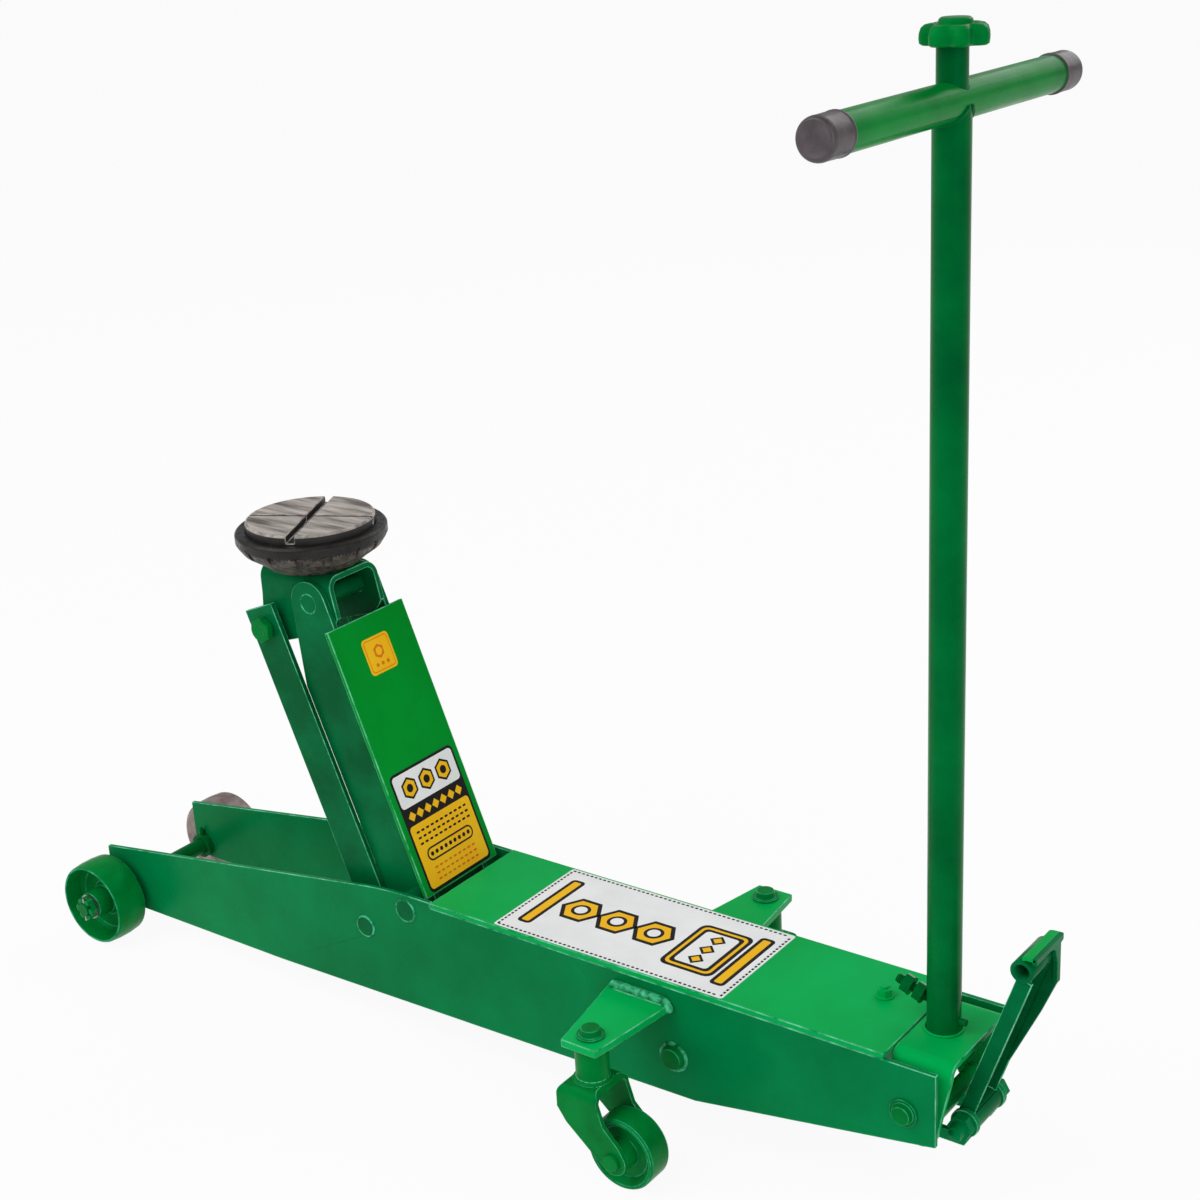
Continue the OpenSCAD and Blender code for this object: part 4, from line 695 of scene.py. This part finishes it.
welds = {  # radii and distances in mm, angles in radians
    "bracketOut": 3.6,  # from the side plate
    # which end of the bracket (0 front, 1 rear), rearwards of it, and up from the bracket's top
    "bracket": {"radius": 4.2, "path": [(0, 4, -3.4), (1, -5, -3.4), (1, -0.5, -8), (1, 0.5, -15)]},
    "under": {"radius": 2.6, "path": [(0, 6, -16.4), (1, -6, -16.4)]},
    "bossOut": 0.2,
    "boss": [("arm_pivot_shaft", 12.4, 1.5), ("link_pins", 11.4, 1.5), ("unit_bolts", 14.4, 2.2)],
    "pin": {"radius": 1.1, "ring": 10.8, "sunk": 0.75, "from": 0.4, "to": 5.4},
    "bar": {"radius": 2.2, "from": 0.12, "steps": 40},
    "base": {"radius": 1.2, "up": 1.0, "out": 2.0},
    "nut": {"radius": 1.6, "along": 5.2, "ring": 8.2},
}
plateOuter = abs(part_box("side_plate_left")[0].y)
for side, tag in ((-1, "left"), (1, "right")):
    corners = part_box("caster_bracket_" + tag)
    y = side * (plateOuter + welds["bracketOut"] * mm)
    for name, kind, finish, seed in (("bracket_weld_", "bracket", "weldEnamelPaintedHighlight", 3),
                                     ("bracket_under_weld_", "under", "castEnamel", 5)):
        path = [(corners[end].x + x * mm, y, corners[1].z + z * mm)
                for end, x, z in welds[kind]["path"]]
        bead(name + tag, path, welds[kind]["radius"], "chassis", finish, seed)
    for node, reach, radius in welds["boss"]:
        centre = middle(node)
        place = (centre.x, side * (plateOuter + welds["bossOut"] * mm), centre.z)
        bead(node + "_weld_" + tag, circle(place, reach, (0, 1, 0)), radius, "chassis",
             "weldEnamelPaintedHighlight", 7, closed=True)

    pin, sizes = middle("head_pin"), welds["pin"]
    cheek = side * (abs(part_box("arm_cheek_left")[0].y) - sizes["sunk"] * mm)
    arc = circle((pin.x, cheek, pin.z), sizes["ring"], (0, 1, 0), sizes["from"], sizes["to"])
    bead("head_pin_weld_" + tag, arc, sizes["radius"], "lift_arm", "weldEnamelPaintedHighlight", 17)

# The handle's tube and cross bar are equal round tubes: they meet where z = bar - r |sin(angle)|
barMiddle = middle("handle_bar")
tubeRadius = (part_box("handle_bar")[1].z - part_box("handle_bar")[0].z) / 2
turns = np.linspace(welds["bar"]["from"], math.pi - welds["bar"]["from"], welds["bar"]["steps"])
for side, tag in ((-1, "left"), (1, "right")):
    seam = np.stack([barMiddle.x + tubeRadius * np.cos(turns), side * tubeRadius * np.sin(turns),
                     barMiddle.z - tubeRadius * np.sin(turns)], 1)
    bead("cross_bar_weld_" + tag, seam, welds["bar"]["radius"], "handle", "tubeEnamelPaintedDarker", 9)
tubeFoot = (barMiddle.x, 0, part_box("handle_tube")[0].z + welds["base"]["up"] * mm)
bead("tube_foot_weld", circle(tubeFoot, tubeRadius / mm + welds["base"]["out"], (0, 0, 1)),
     welds["base"]["radius"], "handle", "enamelPaintedLighter", 11, closed=True)
bead("lock_nut_weld", circle(lockStart + lockDirection * welds["nut"]["along"] * mm,
                             welds["nut"]["ring"], lockDirection),
     welds["nut"]["radius"], "handle", "tubeEnamelPaintedDarker", 13, closed=True)
print("threads and welds made")

# Stickers: generic blocks, bars and nut shapes in black, white and yellow


# Corner points of a rectangle with rounded corners, centred on (u, v).
def roundedBox(u, v, wide, high, corner, steps=5):
    points = []
    for k, (su, sv) in enumerate(((1, 1), (-1, 1), (-1, -1), (1, -1))):
        for t in np.linspace(0, math.pi / 2, steps):
            a = t + k * math.pi / 2
            points.append((u + su * (wide / 2 - corner) + corner * math.cos(a),
                           v + sv * (high / 2 - corner) + corner * math.sin(a)))
    return points


# Corner points of a rectangle between two opposite corners.
def plainBox(lowU, lowV, highU, highV):
    return [(lowU, lowV), (highU, lowV), (highU, highV), (lowU, highV)]


# Whole steps to either side of a middle one, as many as each says.
def eachSide(each):
    return range(-each, each + 1)


# Corner points of a regular polygon.
def regular(u, v, radius, sides):
    return [(u + radius * math.cos(t), v + radius * math.sin(t)) for t in fullTurn(sides)]


film = {"step": 0.09, "sunk": 0.02}


# Stacks flat ink shapes on a surface: each is (points in mm, ink, level) and one film step thick.
def sticker(name, origin, along, across, body, shapes):
    step, sunk = film["step"] * mm, film["sunk"] * mm
    along, across = np.array(along), np.array(across)
    out = np.cross(along, across)
    verts, faces, inks, names = [], [], [], []
    for points, ink, level in shapes:
        flat = np.array(points) * mm
        base = np.array(origin) + flat[:, :1] * along + flat[:, 1:] * across
        n, start = len(flat), len(verts)
        verts += (base + out * (level * step - sunk)).tolist()
        verts += (base + out * ((level + 1) * step)).tolist()
        faces += [[start + k, start + (k + 1) % n, start + n + (k + 1) % n, start + n + k]
                  for k in range(n)]
        faces += [list(range(start + n, start + 2 * n)), list(range(start, start + n))[::-1]]
        if ink not in names:
            names.append(ink)
        inks += [names.index(ink)] * (n + 2)
    mesh = bpy.data.meshes.new(name)
    mesh.from_pydata(verts, [], faces)
    for ink in names:
        mesh.materials.append(finishes[ink])
    mesh.polygons.foreach_set("material_index", inks)
    tidyNormals(mesh, merged=False)
    finishPiece(bpy.data.objects.new(name, mesh), body, smooth=False)


# A yellow shape on a black one, both given as outlines.
def framed(points, grown, level):
    return [(grown, "blackInk", level), (points, "yellowInk", level + 1)]


# Sizes of boxes are width, height and corner; those of nuts are radius and number of sides
deckLabel = {
    "front": 84.5, "rear": 364.0, "width": 137.0, "corner": 3.0,  # from the cover's front edge
    "dash": 3.4, "gap": 2.2, "inset": 3.6, "line": 2.3,
    "barAt": (20.0, -16.0), "bar": (9, 92, 2), "barEdge": (17, 100, 5),
    "nutAt": (58, 104, 150), "nut": (19.5, 6), "nutEdge": (24.7, 6), "hole": (10.6, 28),
    "centre": (7.0, 28), "squareAt": 214,
    "square": [((62, 86, 9), "blackInk"), ((54, 78, 7), "yellowInk"), ((47, 71, 5), "blackInk"),
               ((39, 63, 4), "whiteVinyl")],
    "lozengeEach": 1, "lozengeApart": 20, "lozenge": (5.6, 4), "lozengeEdge": (9.4, 4),
}


# White film, a stitched border, three nut outlines between two bars, and a square of lozenges.
def deckShapes(sizes):
    long, wide = sizes["rear"] - sizes["front"], sizes["width"]
    shapes = [(roundedBox(0, 0, long, wide, sizes["corner"]), "whiteVinyl", 0)]
    u, v = long / 2 - sizes["inset"], wide / 2 - sizes["inset"]
    dash, pitch, line = sizes["dash"], sizes["dash"] + sizes["gap"], sizes["line"] / 2
    for k in range(int(2 * u / pitch)):
        start = -u + k * pitch
        shapes += [(plainBox(start, s - line, start + dash, s + line), "blackInk", 1)
                   for s in (-v, v)]
    for k in range(int(2 * v / pitch)):
        start = -v + k * pitch
        shapes += [(plainBox(s - line, start, s + line, start + dash), "blackInk", 1)
                   for s in (-u, u)]
    for at, end in zip(sizes["barAt"], (-u, u)):
        shapes += framed(roundedBox(end + at, 0, *sizes["bar"]),
                         roundedBox(end + at, 0, *sizes["barEdge"]), 1)
    for at in sizes["nutAt"]:
        shapes += framed(regular(at - u, 0, *sizes["nut"]),
                         regular(at - u, 0, *sizes["nutEdge"]), 1)
        shapes.append((regular(at - u, 0, *sizes["hole"]), "blackInk", 3))
        shapes.append((regular(at - u, 0, *sizes["centre"]), "whiteVinyl", 4))
    at = sizes["squareAt"] - u
    for level, (box, ink) in enumerate(sizes["square"], 1):
        shapes.append((roundedBox(at, 0, *box), ink, level))
    for k in eachSide(sizes["lozengeEach"]):
        side = k * sizes["lozengeApart"]
        shapes += framed(regular(at, side, *sizes["lozenge"]),
                         regular(at, side, *sizes["lozengeEdge"]), len(sizes["square"]) + 1)
    return shapes


coverFront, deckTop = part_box("top_cover")[0].x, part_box("top_cover")[1].z
deckMiddle = coverFront + (deckLabel["front"] + deckLabel["rear"]) / 2 * mm
sticker("deck_sticker", (deckMiddle, 0, deckTop), (1, 0, 0), (0, 1, 0), "chassis",
        deckShapes(deckLabel))

armLabel = {  # low and high along the arm cover; what is placed "At" counts from the label's ends
    "low": 7.0, "high": 140.5, "width": 101.5, "corner": 7, "margin": 6, "innerCorner": 4.5,
    "headAt": 21, "headLong": 36, "fieldAt": 39, "fieldLong": 71,
    "nutEach": 1, "nutApart": 27,
    "nut": [((12.5, 6), "blackInk"), ((9.8, 6), "yellowInk"), ((4.6, 20), "blackInk")],
    "bandAt": 49.5, "bandEach": 3, "bandApart": 12.6, "lozenge": (5.6, 4),
    "upperAt": (66, 59.5, 53), "upperEach": 5, "upper": (2.4, 5.0, 1.1, 3),
    "lowerAt": (23, 16.5, 10), "lowerEach": 4, "lower": (2.2, 5.0, 1.0, 3), "markApart": 7.6,
    "ovalAt": 38, "oval": [((15, 74, 7.4, 8), "blackInk"), ((11, 70, 5.4, 8), "yellowInk")],
    "beadEach": 4, "beadApart": 7.4, "bead": (2.6, 6),
}
smallLabel = {
    "low": 243.5, "high": 283.5, "width": 41.0,
    "rule": [(0, 5, "yellowInk"), (5, 3.4, "orangeInk"), (6.6, 2.8, "yellowInk")],
    "nutAt": 3, "nut": [((8, 6), "orangeInk"), ((4.6, 20), "yellowInk")],
    "rowAt": -10.5, "rowEach": 1, "rowApart": 8, "lozenge": (2.6, 4),
}


# Black-edged film: white head with three nuts, black band of lozenges, yellow field with an oval.
def armShapes(sizes):
    long, wide = sizes["high"] - sizes["low"], sizes["width"]
    top, bottom = long / 2, -long / 2
    head, inside = top - sizes["headAt"], wide - sizes["margin"]
    shapes = [
        (roundedBox(0, 0, long, wide, sizes["corner"]), "blackInk", 0),
        (roundedBox(head, 0, sizes["headLong"], inside, sizes["innerCorner"]), "whiteVinyl", 1),
        (roundedBox(bottom + sizes["fieldAt"], 0, sizes["fieldLong"], inside,
                    sizes["innerCorner"]), "yellowInk", 1)]
    for k in eachSide(sizes["nutEach"]):
        for level, (size, ink) in enumerate(sizes["nut"], 2):
            shapes.append((regular(head, sizes["nutApart"] * k, *size), ink, level))
    band = top - sizes["bandAt"]
    for k in eachSide(sizes["bandEach"]):
        shapes.append((regular(band, sizes["bandApart"] * k, *sizes["lozenge"]), "yellowInk", 2))
    for at in sizes["upperAt"]:
        for k in eachSide(sizes["upperEach"]):
            mark = roundedBox(bottom + at, sizes["markApart"] * k, *sizes["upper"])
            shapes.append((mark, "blackInk", 2))
    oval = bottom + sizes["ovalAt"]
    for level, (size, ink) in enumerate(sizes["oval"], 2):
        shapes.append((roundedBox(oval, 0, *size), ink, level))
    for k in eachSide(sizes["beadEach"]):
        shapes.append((regular(oval, sizes["beadApart"] * k, *sizes["bead"]), "blackInk", 4))
    for at in sizes["lowerAt"]:
        for k in eachSide(sizes["lowerEach"]):
            mark = roundedBox(bottom + at, sizes["markApart"] * k, *sizes["lower"])
            shapes.append((mark, "orangeInk", 2))
    return shapes


# Yellow film with an orange rule, one nut outline and a row of lozenges.
def smallShapes(sizes):
    long, wide = sizes["high"] - sizes["low"], sizes["width"]
    shapes = [(roundedBox(0, 0, long - less, wide - less, corner), ink, level)
              for level, (less, corner, ink) in enumerate(sizes["rule"])]
    for level, (size, ink) in enumerate(sizes["nut"], 3):
        shapes.append((regular(sizes["nutAt"], 0, *size), ink, level))
    for k in eachSide(sizes["rowEach"]):
        lozenge = regular(sizes["rowAt"], sizes["rowApart"] * k, *sizes["lozenge"])
        shapes.append((lozenge, "orangeInk", 3))
    return shapes


armCover = {"tilt": 69.108, "start": (-69.52, 162.96)}  # degrees, and where its outer face begins
armTurn = math.radians(armCover["tilt"])
armAlong = np.array((-math.cos(armTurn), 0, math.sin(armTurn)))
armOuter = np.array((armCover["start"][0], 0, armCover["start"][1])) * mm
for name, sizes, shapes in (("arm_sticker_large", armLabel, armShapes),
                            ("arm_sticker_small", smallLabel, smallShapes)):
    at = armOuter + armAlong * (sizes["low"] + sizes["high"]) / 2 * mm
    sticker(name, at, armAlong, (0, -1, 0), "lift_arm", shapes(sizes))
print("stickers laid")

# Floor, lamps and background

studio = {"floor": 60.0, "paper": "F4F4F4", "floorWhite": 0.93, "world": 0.45}


# A pale floor that keeps the shadow, under a soft even sky that the camera sees as white.
def addStage(sizes):
    mesh = bpy.data.meshes.new("floor")
    half = sizes["floor"] / 2
    mesh.from_pydata([(-half, -half, 0), (half, -half, 0), (half, half, 0), (-half, half, 0)], [],
                     [(0, 1, 2, 3)])
    made = bpy.data.materials.new("pale_studio_floor")
    made.use_nodes = True
    tree = made.node_tree
    tree.nodes.clear()
    rays = add(tree, "ShaderNodeLightPath")
    paper = add(tree, "ShaderNodeBsdfDiffuse", {"Color": linear(sizes["paper"])})
    glow = add(tree, "ShaderNodeEmission", {"Color": (1, 1, 1, 1), "Strength": 1.0})
    seen = add(tree, "ShaderNodeMath", {"operation": "MAXIMUM"},
               {0: rays.outputs["Is Camera Ray"], 1: rays.outputs["Is Glossy Ray"]})
    share = add(tree, "ShaderNodeMath", {"operation": "MULTIPLY", 1: sizes["floorWhite"]},
                {0: seen.outputs[0]})
    mix = add(tree, "ShaderNodeMixShader",
              links={0: share.outputs[0], 1: paper.outputs[0], 2: glow.outputs[0]})
    add(tree, "ShaderNodeOutputMaterial", links={"Surface": mix.outputs[0]})
    mesh.materials.append(made)
    floor = bpy.data.objects.new("floor", mesh)
    bpy.context.scene.collection.objects.link(floor)

    world = bpy.data.worlds.new("studio")
    bpy.context.scene.world = world
    world.use_nodes = True
    sky = world.node_tree
    sky.nodes.clear()
    rays = add(sky, "ShaderNodeLightPath")
    even = add(sky, "ShaderNodeBackground", {"Color": (1, 1, 1, 1), "Strength": sizes["world"]})
    white = add(sky, "ShaderNodeBackground", {"Color": (1, 1, 1, 1), "Strength": 1.0})
    mix = add(sky, "ShaderNodeMixShader",
              links={0: rays.outputs["Is Camera Ray"], 1: even.outputs[0], 2: white.outputs[0]})
    add(sky, "ShaderNodeOutputWorld", links={"Surface": mix.outputs[0]})


lamps = {  # place in metres, size in metres, watts
    "key": ((-1.6, -2.4, 3.4), 3.4, 78),
    "fill": ((3.4, -1.6, 1.6), 2.8, 29),
    "back": ((0.6, 3.4, 2.6), 2.4, 30),
}
lampAim = Vector((0, 0, 0.3))


# A square area lamp that faces the middle of the jack.
def addLamp(name, place, size, watts):
    data = bpy.data.lights.new(name, "AREA")
    data.shape, data.size, data.energy = "SQUARE", size, watts
    lamp = bpy.data.objects.new(name, data)
    bpy.context.scene.collection.objects.link(lamp)
    turn = (lampAim - Vector(place)).to_track_quat("-Z", "Y").to_matrix().to_4x4()
    lamp.matrix_world = Matrix.Translation(Vector(place)) @ turn


addStage(studio)
for name, (place, size, watts) in lamps.items():
    addLamp(name, place, size, watts)
bpy.context.scene.view_settings.view_transform = "Standard"
print("stage and lamps set")
